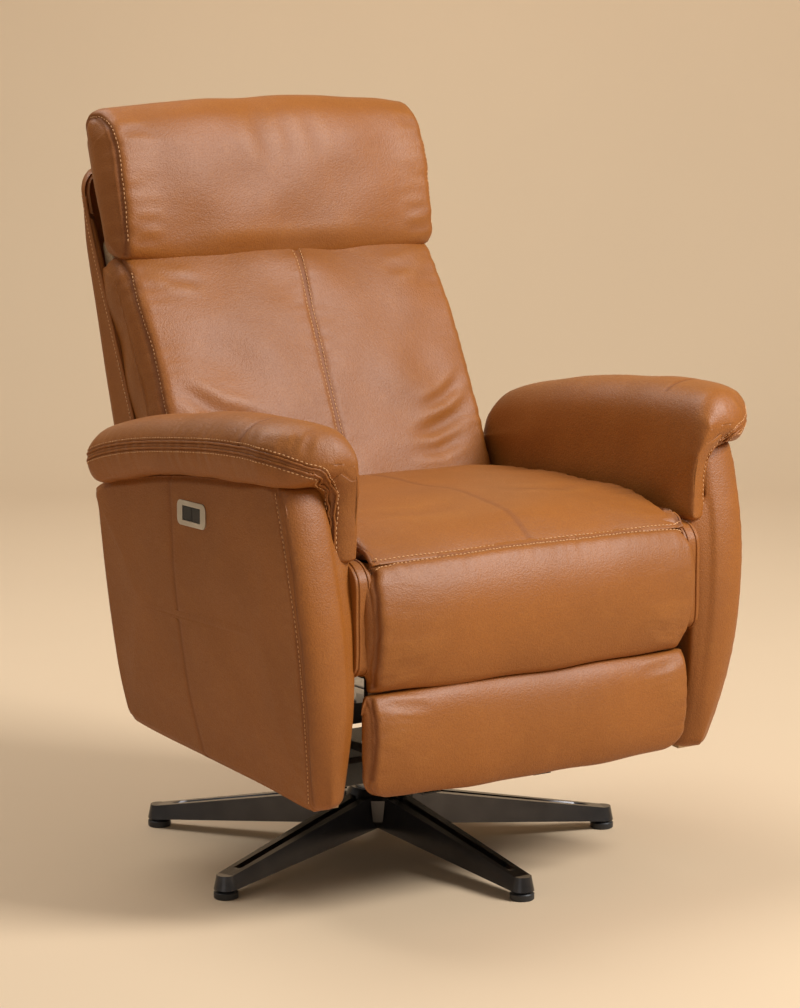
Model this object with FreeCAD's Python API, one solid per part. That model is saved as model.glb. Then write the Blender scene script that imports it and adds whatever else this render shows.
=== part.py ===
import FreeCAD, Part
import math
import os

# Power recliner on a five-leg swivel base, with one motor that moves the back and the
# footrest together, a head cushion on ratchet hinges and a two-button switch.
# Millimetres. X runs to the sitter's left, -Y to the front, +Z up. The floor is Z = 0
# and the swivel axis is the Z axis.

# Star base
leg_count = 5
glide_radius = 17.0
glide_height = 10.0
glide_neck_radius = 11.0
glide_neck_height = 3.0
glide_stem_radius = 4.0
glide_stem_length = 13.0
glide_circle = 345.0
leg_tip_height = 20.0
leg_tip_half = 17.0
leg_root_half = 25.5
leg_root_height = 51.0
leg_side_draft = 4.0
leg_wall = 4.5
groove_half = 6.0
groove_depth = 7.0
groove_end_gap = 42.0
hub_radius = 50.0
hub_bottom = 39.0
hub_height = 53.0

# Swivel column and bearing
column_foot_radius = 21.5
column_cone_radius = 23.0
column_foot_gap = 7.0
collar_radius = 34.0
collar_height = 8.0
journal_radius = 19.0
washer_thickness = 3.2
running_clearance = 0.05
seat_gap = 0.3
sleeve_wall = 14.0
sleeve_length = 48.0
ring_thickness = 2.0
ring_radius = 25.0

# Steel frame under the seat
plate_half = 120.0
plate_thickness = 6.0
plate_drop = 5.5
tube_side = 30.0
tube_wall = 2.0
rail_offset = 95.0
frame_half = 262.0
side_flange = 22.0
side_plate_thickness = 5.0
truss_width = 30.0
flange_thickness = 5.0

# Places along the chair
footrest_pivot_y = -335.0
torque_y = -100.0
back_pivot_y = 85.0
front_tube_offset = 85.0
rear_tube_offset = 35.0

# Drive, with its travel from the closed chair to the fully open one
recline_angle = 38.0
footrest_angle = 85.0
back_lever_length = 93.4
parallel_lever = 60.0
parallel_rest = 20.0
back_yoke_play = 0.5
crank_yoke_play = 1.5
link_play = 1.0
lever_thickness = 6.0
lever_gap = 3.0
link_gap = 2.0
link_thickness = 6.0
link_width = 18.0
link_pin_radius = 5.0
pivot_pin_radius = 8.0
bolt_radius = 6.0
bolt_head_radius = 13.0
bolt_head_height = 5.0
drive_tube_radius = 8.0
torque_tube_radius = 15.0
torque_stub_radius = 10.0
bush_wall = 4.0
crank_pin_radius = 6.0
crank_eye_radius = 11.0
crank_gap = 13.0
crank_thickness = 5.0
rail_half = 15.0
rail_foot = 16.0
rail_height = 24.0
carriage_clearance = 0.4
carriage_wall = 5.5
yoke_half = 10.0
yoke_height = 35.0
prong = 10.0
under_gap = 2.6

# Seat
seat_depth = 342.0
seat_height = 97.7
pivot_to_seat = 47.0
wood_thickness = 22.0
frame_board = 48.0
webbing_thickness = 1.5
webbing_width = 50.0
cheek_thickness = 28.0
cheek_radius = 34.0
cheek_depth = 154.0

# Footrest, with its roll turned about the footrest pivot
pivot_above_seat_frame = 55.0
roll_radius = 42.0
roll_inner_radius = 25.0
board_thickness = 12.0
board_offset = 10.0
footrest_length = 287.0
roll_length = 141.0
board_drop = 40.0
roll_depth = 45.0
arm_strip_offset = 16.0

# Arms, measured from the seat frame and from the inner side of the arm
arm_width = 90.0
arm_width_middle = 83.0
arm_width_bottom = 43.0
arm_height = 190.0
arm_height_rear = 139.0
arm_height_middle = 177.0
arm_drop = 242.0
arm_drop_rear = 200.0
arm_bow_height = 10.0
arm_front_top_y = -319.0
arm_front_middle_y = -357.0
arm_front_bottom_y = -326.0
arm_rear_top_y = 147.0
arm_rear_bottom_y = 130.0
arm_foot_corner = 24.0
panel_thickness = 16.0
frame_rim = 22.0
frame_web = 12.0
facing_gap_top = 30.0
facing_gap_bottom = 14.0
facing_side = 8.0
facing_bulge = 18.0
drape_thickness = 11.0
pad_overhang = 28.0
pad_thickness = 86.0
window_width = 165.0
window_height = 250.0

# Switch and power inlet
switch_y = -110.5
switch_below_top = 62.0
bezel_length = 72.0
bezel_height = 34.0
bezel_thickness = 3.3
bezel_corner = 9.0
bezel_recess = 2.5
opening_length = 45.0
opening_height = 20.0
button_clearance = 0.3
button_divider = 1.4
button_travel = 1.5
button_depth = 6.0
switch_rim = 3.0
switch_depth = 26.0
inlet_x = 64.0
inlet_width = 28.0
inlet_height = 20.0
inlet_depth = 14.0
inlet_bore = 5.0

# Back
shell_wall = 10.0
shell_drop = 145.0
shell_height = 711.0
shell_lean = 0.28
shell_corner = 30.0
shell_shoulder = 110.0
shell_top_lean = 0.112
stile_thickness = 15.0
back_frame_rise = 40.0
back_frame_height = 418.0
cushion_behind_pivot = 41.0
back_cushion_extra = 10.0
back_cushion_lean = 25.0

# Headrest
headrest_drop = 20.0
headrest_forward = 31.0
head_extra = 14.0
hinge_x = 146.0
hinge_radius = 18.0
hinge_plate = 4.0
hinge_pin_radius = 6.0

# Heights that stack up from the floor to the seat frame
leg_tip_bottom = glide_height + glide_neck_height
hub_top = hub_bottom + hub_height
column_foot = hub_bottom + column_foot_gap
collar_top = hub_top + collar_height
washer_top = collar_top + washer_thickness
sleeve_bottom = washer_top + seat_gap
sleeve_top = sleeve_bottom + sleeve_length
ring_bottom = sleeve_top + seat_gap
plate_top = sleeve_top - plate_drop
plate_bottom = plate_top - plate_thickness
rail_tube_top = plate_top + tube_side
tube_top = rail_tube_top + tube_side
rail_bottom = tube_top + rail_foot
rail_top = rail_bottom + rail_height
carriage_top = rail_top + carriage_wall
yoke_floor = carriage_top + 4.5
yoke_top = carriage_top + yoke_height
crank_rest = footrest_angle / 2
back_lever_rest = recline_angle / 2
crank_length = (
    back_lever_length * math.sin(math.radians(back_lever_rest)) / math.sin(math.radians(crank_rest))
)
torque_z = carriage_top + under_gap + crank_eye_radius + crank_length
back_pivot_z = yoke_floor + under_gap + drive_tube_radius + back_lever_length
seat_support = back_pivot_z + 50
webbing_bottom = seat_support + wood_thickness
webbing_middle = webbing_bottom + webbing_thickness
seat_bottom = webbing_middle + webbing_thickness + seat_gap
seat_crown = seat_bottom + seat_height

# Pivots in the side view, as (y, z)
back_pivot = (back_pivot_y, back_pivot_z)
footrest_pivot = (footrest_pivot_y, seat_support + pivot_above_seat_frame)
torque_axis = (torque_y, torque_z)

# Widths that stack up from the side frame inwards and outwards
side_plate_inner = frame_half - side_flange
lever_outer = side_plate_inner - lever_gap
lever_inner = lever_outer - lever_thickness
link_inner = lever_inner - link_gap - link_thickness
seat_half = frame_half - seat_gap
footrest_half = frame_half - 1
shell_half = frame_half
back_cushion_half = frame_half + back_cushion_extra
head_half = frame_half + head_extra
arm_inner = frame_half + cheek_thickness
drape_inner = arm_inner - drape_thickness

V = FreeCAD.Vector
made = []
os.makedirs("parts", exist_ok=True)


def save(name, shape):
    """Write one piece under its own name."""
    if shape.ShapeType == "Compound" and len(shape.Solids) == 1:
        shape = shape.Solids[0]
    if not shape.isValid() or not shape.Solids:
        raise ValueError(name + " is not a sound solid")
    shape.exportStep("parts/" + name + ".step")
    made.append(name)


def both_sides(name, shape):
    """Write the piece made on the +X side and its mirror image."""
    save(name + "_left", shape)
    save(name + "_right", shape.mirror(V(0, 0, 0), V(1, 0, 0)))


def mirrored(shape):
    return shape.mirror(V(0, 0, 0), V(1, 0, 0))


def box(x0, x1, y0, y1, z0, z1):
    return Part.makeBox(x1 - x0, y1 - y0, z1 - z0, V(x0, y0, z0))


def rod(radius, x0, x1, point):
    """A cylinder along X, centred on a (y, z) point."""
    return Part.makeCylinder(radius, x1 - x0, V(x0, point[0], point[1]), V(1, 0, 0))


def post(radius, z0, z1, x=0.0, y=0.0):
    return Part.makeCylinder(radius, z1 - z0, V(x, y, z0))


def square_tube(x0, x1, y0, y1, z0, z1, along):
    """A hollow tube with the wall tube_wall, open at its ends along X or Y."""
    wall = tube_wall
    if along == "x":
        return box(x0, x1, y0, y1, z0, z1).cut(
            box(x0 - 1, x1 + 1, y0 + wall, y1 - wall, z0 + wall, z1 - wall)
        )
    return box(x0, x1, y0, y1, z0, z1).cut(
        box(x0 + wall, x1 - wall, y0 - 1, y1 + 1, z0 + wall, z1 - wall)
    )


def bar(x0, x1, start, end, width):
    """A flat bar with round ends between two (y, z) points."""
    radius = width / 2
    dy, dz = end[0] - start[0], end[1] - start[1]
    length = math.hypot(dy, dz)
    side = (-dz / length * radius, dy / length * radius)
    corners = [
        V(x0, start[0] + side[0], start[1] + side[1]),
        V(x0, end[0] + side[0], end[1] + side[1]),
        V(x0, end[0] - side[0], end[1] - side[1]),
        V(x0, start[0] - side[0], start[1] - side[1]),
    ]
    middle = Part.Face(Part.makePolygon(corners + corners[:1])).extrude(V(x1 - x0, 0, 0))
    ends = [rod(radius, x0, x1, start), rod(radius, x0, x1, end)]
    return middle.fuse(ends).removeSplitter()


def swung(pivot, length, angle):
    """The (y, z) point at a distance below a pivot, swung forward by an angle in degrees."""
    turn = math.radians(angle)
    return (pivot[0] - length * math.sin(turn), pivot[1] - length * math.cos(turn))


def side_view(x):
    """Places a flat (a, b) point in the side view at a given x."""
    return lambda a, b: V(x, a, b)


def front_view(y):
    return lambda a, b: V(a, y, b)


def plan_view(z):
    return lambda a, b: V(a, b, z)


def rounded_wire(corners, place):
    """A closed wire through (a, b, radius) corners, each rounded by its radius."""
    flat = [V(a, b, 0) for a, b, _ in corners]
    starts, middles, ends = [], [], []
    for i, corner in enumerate(flat):
        radius = corners[i][2]
        back = (flat[i - 1] - corner).normalize()
        ahead = (flat[(i + 1) % len(flat)] - corner).normalize()
        half = back.getAngle(ahead) / 2
        bisector = (back + ahead).normalize()
        reach = radius / math.tan(half)
        starts.append(corner + back * reach)
        ends.append(corner + ahead * reach)
        middles.append(corner + bisector * (radius / math.sin(half) - radius))
    edges = []
    for i in range(len(flat)):
        points = [place(p.x, p.y) for p in (starts[i], middles[i], ends[i])]
        if corners[i][2] > 0:
            edges.append(Part.Arc(*points).toShape())
        after = starts[(i + 1) % len(flat)]
        edges.append(Part.LineSegment(points[2], place(after.x, after.y)).toShape())
    return Part.Wire(edges)


def prism(corners, place, direction):
    return Part.Face(rounded_wire(corners, place)).extrude(direction)


def turned_solid(profile):
    """A solid turned about the Z axis from (radius, z) points."""
    points = [V(r, 0, z) for r, z in profile]
    face = Part.Face(Part.makePolygon(points + points[:1]))
    return face.revolve(V(0, 0, 0), V(0, 0, 1), 360)


def around(shape, count):
    """Copies of a shape evenly turned about the Z axis."""
    copies = []
    for i in range(count):
        copy = shape.copy()
        copy.rotate(V(0, 0, 0), V(0, 0, 1), 360.0 / count * i)
        copies.append(copy)
    return copies


def circle_through(a, b, c):
    """Centre and radius of the circle through three (a, b) points."""
    circle = Part.Arc(V(a[0], a[1], 0), V(b[0], b[1], 0), V(c[0], c[1], 0)).toShape().Curve
    return circle.Center.x, circle.Center.y, circle.Radius


def pillow(section, half_width, draw_in, crown, groove=0.0):
    """A cushion lofted across X from side-view wires.

    section(q) gives the wire with its free sides pulled in by q. They are pulled in a
    little towards the sides, which leaves the crown, and more at the ends, where the cover
    is drawn in. The groove is a sewn channel down the middle.
    """
    halves = []
    for side in (1, -1):
        wires = []
        for share in (0.0, 0.04, 0.2, 0.5, 0.75, 0.9, 0.97, 1.0):
            wire = section(groove if share == 0 else crown * share**2 + draw_in * share**10)
            wire.translate(V(side * share * half_width, 0, 0))
            wires.append(wire)
        halves.append(Part.makeLoft(wires, True, True))
    return halves[0].fuse(halves[1])


def shrunk(wire, point, reach):
    """A section that shrinks about a (y, z) point, whose free sides lie reach away from it."""

    def section(pull):
        copy = wire.copy()
        copy.scale(1 - pull / reach, V(0, point[0], point[1]))
        return copy

    return section


# Star base: five tapered legs with a grooved top and an open underside
def leg_height(distance, root, tip):
    """A size that runs evenly from the hub centre to the glide."""
    return root + (tip - root) * distance / glide_circle


def leg_section(distance, inset, groove, low):
    """The cross-section of a leg that points forward."""
    half = leg_height(distance, leg_root_half, leg_tip_half) - inset
    bottom = leg_height(distance, hub_bottom, leg_tip_bottom)
    top = bottom + leg_height(distance, leg_root_height, leg_tip_height)
    if inset:
        top -= inset + groove_depth
        bottom = low
    shoulder = half - leg_side_draft
    points = [
        (-half, bottom),
        (half, bottom),
        (shoulder, top),
        (groove_half, top),
        (0, top - groove),
        (-groove_half, top),
        (-shoulder, top),
    ]
    corners = [V(a, -distance, b) for a, b in points]
    return Part.makePolygon(corners + corners[:1])


groove_end = glide_circle - groove_end_gap
leg = Part.makeLoft(
    [
        leg_section(20, 0, groove_depth, 0),
        leg_section(groove_end, 0, groove_depth, 0),
        leg_section(groove_end + groove_end_gap / 2, 0, 0.1, 0),
        leg_section(glide_circle, 0, 0.0, 0),
    ],
    True,
    True,
)
tip = Part.makeCone(
    leg_tip_half, leg_tip_half - leg_side_draft, leg_tip_height, V(0, -glide_circle, leg_tip_bottom)
)
leg_pocket = Part.makeLoft(
    [
        leg_section(hub_radius + 8, leg_wall, 0.1, leg_tip_bottom - 5),
        leg_section(glide_circle - leg_tip_half - 9, leg_wall, 0.1, leg_tip_bottom - 5),
    ],
    True,
    True,
)
hub = turned_solid(
    [
        (0, hub_bottom),
        (hub_radius - 6, hub_bottom),
        (hub_radius, hub_bottom + 8),
        (hub_radius, hub_top - 14),
        (hub_radius - 8, hub_top),
        (0, hub_top),
    ]
)
column_cone = turned_solid(
    [(0, column_foot), (column_foot_radius, column_foot), (column_cone_radius, hub_top), (0, hub_top)]
)
stem_hole = post(
    glide_stem_radius, leg_tip_bottom - 1, leg_tip_bottom + glide_stem_length, 0, -glide_circle
)
star_base = hub.fuse(around(leg.fuse(tip), leg_count))
star_base = star_base.cut(around(leg_pocket, leg_count) + around(stem_hole, leg_count))
star_base = star_base.cut([column_cone, post(column_foot_radius, hub_bottom - 1, column_foot)])
save("star_base", star_base)

glide = post(glide_radius, 0, glide_height, 0, -glide_circle)
glide = glide.makeChamfer(1.5, [glide.Edges[0], glide.Edges[2]])
glide = glide.fuse(
    [
        post(glide_neck_radius, glide_height - 1, leg_tip_bottom, 0, -glide_circle),
        post(glide_stem_radius, glide_height, leg_tip_bottom + glide_stem_length, 0, -glide_circle),
    ]
)
save("glide_feet", Part.makeCompound(around(glide, leg_count)))

# Swivel column, washer and ring, and the sleeve that turns on the journal
column = column_cone.fuse(
    [
        post(collar_radius, hub_top, collar_top),
        post(journal_radius, collar_top - 1, ring_bottom + 3 * ring_thickness),
    ]
)
ring_groove = post(journal_radius + 1, ring_bottom, ring_bottom + ring_thickness).cut(
    post(journal_radius - 2, ring_bottom, ring_bottom + ring_thickness)
)
save("swivel_column", column.cut(ring_groove))
save(
    "thrust_washer",
    post(collar_radius, collar_top, washer_top).cut(post(journal_radius, collar_top, washer_top)),
)
retaining_ring = post(ring_radius, ring_bottom, ring_bottom + ring_thickness)
retaining_ring = retaining_ring.cut(
    [
        post(journal_radius - 2, ring_bottom, ring_bottom + ring_thickness),
        box(-3, 3, -ring_radius, 0, ring_bottom, ring_bottom + ring_thickness),
    ]
)
save("retaining_ring", retaining_ring)

sleeve_radius = journal_radius + sleeve_wall
gusset_face = Part.makePolygon(
    [
        V(sleeve_radius - 2, -3, sleeve_bottom + 6),
        V(sleeve_radius - 2, -3, plate_bottom + 1),
        V(plate_half - 25, -3, plate_bottom + 1),
        V(sleeve_radius - 2, -3, sleeve_bottom + 6),
    ]
)
gusset = Part.Face(gusset_face).extrude(V(0, 6, 0))
plate_corners = [
    (a * plate_half, b * plate_half, 18) for a, b in ((1, 1), (-1, 1), (-1, -1), (1, -1))
]
swivel_plate = prism(plate_corners, plan_view(plate_bottom), V(0, 0, plate_thickness))
swivel_plate = swivel_plate.fuse([post(sleeve_radius, sleeve_bottom, sleeve_top)] + around(gusset, 4))
swivel_plate = swivel_plate.cut(
    post(journal_radius + running_clearance, sleeve_bottom - 1, sleeve_top + 1)
)
save("swivel_plate", swivel_plate)

# Base rails and cross tubes
front_tube_y = footrest_pivot_y + front_tube_offset
rear_tube_y = back_pivot_y - rear_tube_offset
half_tube = tube_side / 2
frame_front = front_tube_y - half_tube
frame_rear = rear_tube_y + half_tube
base_rails = [
    square_tube(
        side * rail_offset - half_tube, side * rail_offset + half_tube,
        frame_front, frame_rear, plate_top, rail_tube_top, "y",
    )
    for side in (-1, 1)
]
save("base_rails", Part.makeCompound(base_rails))
cross_tubes = [
    square_tube(-frame_half, frame_half, y - half_tube, y + half_tube, rail_tube_top, tube_top, "x")
    for y in (front_tube_y, rear_tube_y)
]
save("cross_tubes", Part.makeCompound(cross_tubes))

# Side frames: truss plates that carry the back pivot and the torque tube
plate_x0 = side_plate_inner
plate_x1 = side_plate_inner + side_plate_thickness
low = tube_top + truss_width / 2
high = seat_support - truss_width / 2
front_foot = (front_tube_y, low)
rear_foot = (rear_tube_y, low)
front_top = (front_tube_y - 18, high)
rear_top = (back_pivot[0] - 18, high)
torque_top = (torque_axis[0], high)
members = [
    (front_foot, rear_foot),
    (front_foot, front_top),
    (front_top, rear_top),
    (rear_top, back_pivot),
    (rear_foot, back_pivot),
    (torque_axis, torque_top),
    (torque_axis, (torque_axis[0] - 70, low)),
    (torque_axis, (torque_axis[0] + 70, low)),
]
side_frame = rod(27, plate_x0, plate_x1, back_pivot).fuse(
    [bar(plate_x0, plate_x1, start, end, truss_width) for start, end in members]
    + [
        rod(26, plate_x0, plate_x1, torque_axis),
        box(
            plate_x0, frame_half, front_top[0] - 12, rear_top[0],
            seat_support - flange_thickness, seat_support,
        ),
        box(plate_x0, frame_half, frame_front, frame_rear, tube_top, tube_top + flange_thickness),
    ]
)
bush_radius = torque_stub_radius + bush_wall
side_frame = side_frame.cut(
    [
        rod(bolt_radius, plate_x0 - 1, plate_x1 + 1, back_pivot),
        rod(bush_radius, plate_x0 - 1, plate_x1 + 1, torque_axis),
    ]
).removeSplitter()
both_sides("side_frame", side_frame)

bush = rod(bush_radius, plate_x0, plate_x1, torque_axis).fuse(
    rod(bush_radius + bush_wall, plate_x1, plate_x1 + bush_wall / 2, torque_axis)
)
bush = bush.cut(rod(torque_stub_radius + running_clearance, plate_x0 - 1, frame_half, torque_axis))
save("torque_bushes", Part.makeCompound([bush, mirrored(bush)]))

# Shoulder bolts at the back pivot, each with its nut
bolt_head_x = lever_inner - seat_gap
nut_radius = bolt_radius + bolt_head_height
nut = prism(
    [
        (
            back_pivot[0] + nut_radius * math.cos(math.radians(60 * i)),
            back_pivot[1] + nut_radius * math.sin(math.radians(60 * i)),
            0,
        )
        for i in range(6)
    ],
    side_view(plate_x1),
    V(9, 0, 0),
)
back_bolt = rod(bolt_head_radius, bolt_head_x - bolt_head_height, bolt_head_x, back_pivot).fuse(
    [
        rod(pivot_pin_radius, bolt_head_x - 1, plate_x0, back_pivot),
        rod(bolt_radius, plate_x0 - 1, plate_x1 + 12, back_pivot),
    ]
)
nut = nut.cut(rod(bolt_radius, plate_x1, plate_x1 + 10, back_pivot))
save("back_pivot_bolts", Part.makeCompound([back_bolt, nut, mirrored(back_bolt), mirrored(nut)]))

# Seat frame, webbing and cushion
seat_front = footrest_pivot_y + pivot_to_seat
seat_rear = seat_front + seat_depth
wood_front = seat_front + 5
wood_rear = seat_rear - 2
seat_frame = box(-frame_half, frame_half, wood_front, wood_rear, seat_support, webbing_bottom)
seat_frame = seat_frame.cut(
    box(
        -frame_half + frame_board, frame_half - frame_board,
        wood_front + frame_board, wood_rear - frame_board,
        seat_support - 1, webbing_bottom + 1,
    )
)
save("seat_frame", seat_frame)
half_web = webbing_width / 2
strap_edge = frame_half - 4
seat_middle = (seat_front + seat_rear) / 2
straps = [
    box(x - half_web, x + half_web, wood_front, wood_rear, webbing_bottom, webbing_middle)
    for x in (-0.62 * frame_half, -0.21 * frame_half, 0.21 * frame_half, 0.62 * frame_half)
]
straps += [
    box(-strap_edge, strap_edge, y - half_web, y + half_web, webbing_middle, seat_bottom - seat_gap)
    for y in (seat_middle - seat_depth / 4, seat_middle, seat_middle + seat_depth / 4)
]
save("seat_webbing", Part.makeCompound(straps))


def seat_section(pull):
    return rounded_wire(
        [
            (seat_front + pull / 2, seat_bottom, 10),
            (seat_rear - pull / 2, seat_bottom, 10),
            (seat_rear - pull / 2, seat_crown - 6 - pull, 26),
            (seat_front + pull / 2, seat_crown - pull, 36),
        ],
        side_view(0),
    )


save("seat_cushion", pillow(seat_section, seat_half, 8.0, 10.0))

# Cheeks beside the footrest hinge, with the shoulder bolts that carry the footrest
cheek_top = footrest_pivot[1] + cheek_radius
cheek_nose = footrest_pivot[0] - cheek_radius
cheek_low = footrest_pivot[1] - cheek_radius
cheek_corner = cheek_radius - 0.2
cheek_bottom = cheek_top - cheek_depth
cheek_rear = seat_rear + 6
cheek = prism(
    [
        (cheek_nose, cheek_top, cheek_corner),
        (cheek_rear, cheek_top, 20),
        (cheek_rear, cheek_bottom, 20),
        (footrest_pivot[0] - 1, cheek_bottom, 22),
        (footrest_pivot[0] - 1, cheek_low, 0.5),
        (cheek_nose, cheek_low, cheek_corner),
    ],
    side_view(frame_half),
    V(arm_inner - frame_half, 0, 0),
)
cheek = cheek.cut(rod(bolt_radius, frame_half, frame_half + 18, footrest_pivot))
both_sides("seat_cheek", cheek)
footrest_bolt = rod(
    bolt_head_radius, bolt_head_x - bolt_head_height, bolt_head_x, footrest_pivot
).fuse(
    [
        rod(pivot_pin_radius, bolt_head_x - 1, frame_half, footrest_pivot),
        rod(bolt_radius, frame_half - 1, frame_half + 18, footrest_pivot),
    ]
)
save("footrest_pivot_bolts", Part.makeCompound([footrest_bolt, mirrored(footrest_bolt)]))

# Actuator: rail, gearbox with motor, and the carriage with its two yokes
gearbox_rear = frame_front + 75
drive_rail = box(-rail_half, rail_half, gearbox_rear, frame_rear, rail_bottom, rail_top)
drive_rail = drive_rail.cut(
    [
        box(-rail_half - 1, -rail_half + 4, gearbox_rear - 1, frame_rear + 1, rail_bottom + 8, rail_top - 8),
        box(rail_half - 4, rail_half + 1, gearbox_rear - 1, frame_rear + 1, rail_bottom + 8, rail_top - 8),
    ]
)
drive_rail = drive_rail.fuse(
    box(-rail_half, rail_half, frame_rear - tube_side, frame_rear, tube_top, rail_bottom)
)
save("drive_rail", drive_rail)
gearbox = prism(
    [(-32, tube_top, 6), (32, tube_top, 6), (32, rail_top + 18, 12), (-32, rail_top + 18, 12)],
    front_view(frame_front + 4),
    V(0, gearbox_rear - frame_front - 4, 0),
)
motor_y = (frame_front + gearbox_rear) / 2 + 2
motor_z = (tube_top + rail_top + 18) / 2
motor = rod(23, 31, 130, (motor_y, motor_z)).fuse(rod(10, 129, 138, (motor_y, motor_z)))
save("motor_unit", gearbox.fuse(motor))

crank_pin = swung(torque_axis, crank_length, -crank_rest)
lever_pin = swung(back_pivot, back_lever_length, -back_lever_rest)
crank_slot = crank_pin_radius + crank_yoke_play
drive_slot = drive_tube_radius + back_yoke_play
carriage = box(
    -rail_half - 8, rail_half + 8, crank_pin[0] - crank_slot - prong, crank_pin[0] + 45,
    rail_bottom - carriage_wall, carriage_top,
)
carriage = carriage.cut(
    box(
        -rail_half - carriage_clearance, rail_half + carriage_clearance,
        crank_pin[0] - 80, crank_pin[0] + 80,
        rail_bottom - carriage_clearance, rail_top + carriage_clearance,
    )
)
yokes = [
    box(
        -yoke_half, yoke_half, pin[0] - slot - prong, pin[0] + slot + prong,
        carriage_top - 1, yoke_top,
    ).cut(box(-yoke_half - 1, yoke_half + 1, pin[0] - slot, pin[0] + slot, yoke_floor, yoke_top + 1))
    for pin, slot in ((crank_pin, crank_slot), (lever_pin, drive_slot))
]
spine = box(
    -yoke_half, yoke_half, crank_pin[0], lever_pin[0] + drive_slot + prong,
    rail_top + carriage_clearance, yoke_floor,
)
save("drive_carriage", carriage.fuse(yokes + [spine]).removeSplitter())

# Torque tube with its crank and the two end levers
torque_lever_pin = swung(torque_axis, parallel_lever, -parallel_rest)
lever_x = (lever_inner, lever_outer)
pin_inner = link_inner - 3.5


def link_pin(point):
    """A pin on the inner side of a lever, with the clip that keeps the bar on it."""
    return rod(link_pin_radius, pin_inner, lever_inner + 1, point).fuse(
        rod(link_pin_radius + 3, pin_inner - 2, link_inner - seat_gap, point)
    )


torque_end = rod(torque_stub_radius, torque_tube_radius, plate_x1 + 6, torque_axis).fuse(
    [
        bar(*lever_x, torque_axis, torque_lever_pin, 24),
        link_pin(torque_lever_pin),
        bar(crank_gap, crank_gap + crank_thickness, torque_axis, crank_pin, 2 * crank_eye_radius),
        rod(torque_tube_radius, 0, lever_inner - 14, torque_axis),
    ]
)
crank_rod = rod(crank_pin_radius, -crank_gap - crank_thickness, crank_gap + crank_thickness, crank_pin)
torque_tube = torque_end.fuse([mirrored(torque_end), crank_rod]).removeSplitter()
save("torque_tube", torque_tube)

# Link bars, parallel to the line between the torque axis and the footrest pivot
arm_lever_pin = swung(footrest_pivot, parallel_lever, -parallel_rest)
link_bar = bar(
    link_inner, link_inner + link_thickness, torque_lever_pin, arm_lever_pin, link_width
)
link_bar = link_bar.cut(
    [
        rod(link_pin_radius + running_clearance, link_inner - 1, lever_inner, torque_lever_pin),
        rod(link_pin_radius + link_play, link_inner - 1, lever_inner, arm_lever_pin),
    ]
)
both_sides("link_bar", link_bar)

# Swing arms, board and pad of the footrest
board_face = footrest_pivot_y - board_offset
board_top = footrest_pivot[1] - board_drop
footrest_bottom = footrest_pivot[1] - footrest_length
crease_height = footrest_pivot[1] - roll_length
arm_strip_y = footrest_pivot_y + arm_strip_offset
arm_elbow = (arm_strip_y, board_top - 20)
arm_foot = (arm_strip_y, footrest_bottom + 52)
board_back = board_face + board_thickness
swing_arm = rod(16, *lever_x, footrest_pivot).fuse(
    [
        bar(*lever_x, footrest_pivot, arm_lever_pin, 22),
        bar(*lever_x, footrest_pivot, arm_elbow, 16),
        bar(*lever_x, arm_elbow, arm_foot, 20),
        box(lever_inner - 26, lever_outer, board_back, arm_strip_y - 9, arm_foot[1], arm_elbow[1]),
        link_pin(arm_lever_pin),
    ]
)
swing_arm = swing_arm.cut(
    rod(pivot_pin_radius + running_clearance, lever_inner - 1, lever_outer + 1, footrest_pivot)
).removeSplitter()
both_sides("swing_arm", swing_arm)
board = prism(
    [
        (-footrest_half + 14, footrest_bottom + 6, 22),
        (footrest_half - 14, footrest_bottom + 6, 22),
        (footrest_half - 14, board_top, 4),
        (-footrest_half + 14, board_top, 4),
    ],
    front_view(board_face),
    V(0, board_thickness, 0),
)
save("footrest_board", board)


def roll_point(radius, angle):
    """A point of the roll, its angle measured from straight down towards the front."""
    return V(0, *swung(footrest_pivot, radius, angle))


first_angle = math.degrees(math.asin(board_offset / roll_inner_radius))
last_angle = 230.0
seam_angle = 136.0
inner_quarters = [first_angle + (last_angle - first_angle) * k / 4 for k in range(5)]
inner = [roll_point(roll_inner_radius, angle) for angle in inner_quarters]
seam_bottom = roll_point(roll_radius - 4, seam_angle)
roll_start = roll_point(roll_radius + 1, seam_angle - 3)
roll_end = V(0, board_face - roll_depth + 17, crease_height + 14)
roll_front = V(0, board_face - roll_depth, crease_height + 100)
crease = V(0, board_face - 13, crease_height)
panel_top = V(0, board_face - 26, crease_height - 12)
panel_front = V(0, board_face - 26, footrest_bottom + 62)
panel_foot = V(0, board_face - 11, footrest_bottom + 4)
pad_foot = V(0, board_face, footrest_bottom)
pad_edges = [
    Part.LineSegment(pad_foot, inner[0]),
    Part.Arc(inner[0], inner[1], inner[2]),
    Part.Arc(inner[2], inner[3], inner[4]),
    Part.LineSegment(inner[4], roll_point(roll_radius, last_angle)),
    Part.Arc(
        roll_point(roll_radius, last_angle),
        roll_point(roll_radius, (last_angle + seam_angle + 3) / 2),
        roll_point(roll_radius, seam_angle + 3),
    ),
    Part.LineSegment(roll_point(roll_radius, seam_angle + 3), seam_bottom),
    Part.LineSegment(seam_bottom, roll_start),
    Part.Arc(roll_start, roll_front, roll_end),
    Part.LineSegment(roll_end, crease),
    Part.LineSegment(crease, panel_top),
    Part.Arc(panel_top, panel_front, panel_foot),
    Part.LineSegment(panel_foot, pad_foot),
]
pad_wire = Part.Wire([edge.toShape() for edge in pad_edges])
pad_middle = (board_face, (footrest_pivot[1] + footrest_bottom) / 2)
pad_section = shrunk(pad_wire, pad_middle, footrest_pivot[1] - pad_middle[1])
save("footrest_pad", pillow(pad_section, footrest_half, 6.0, 2.0))

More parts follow.
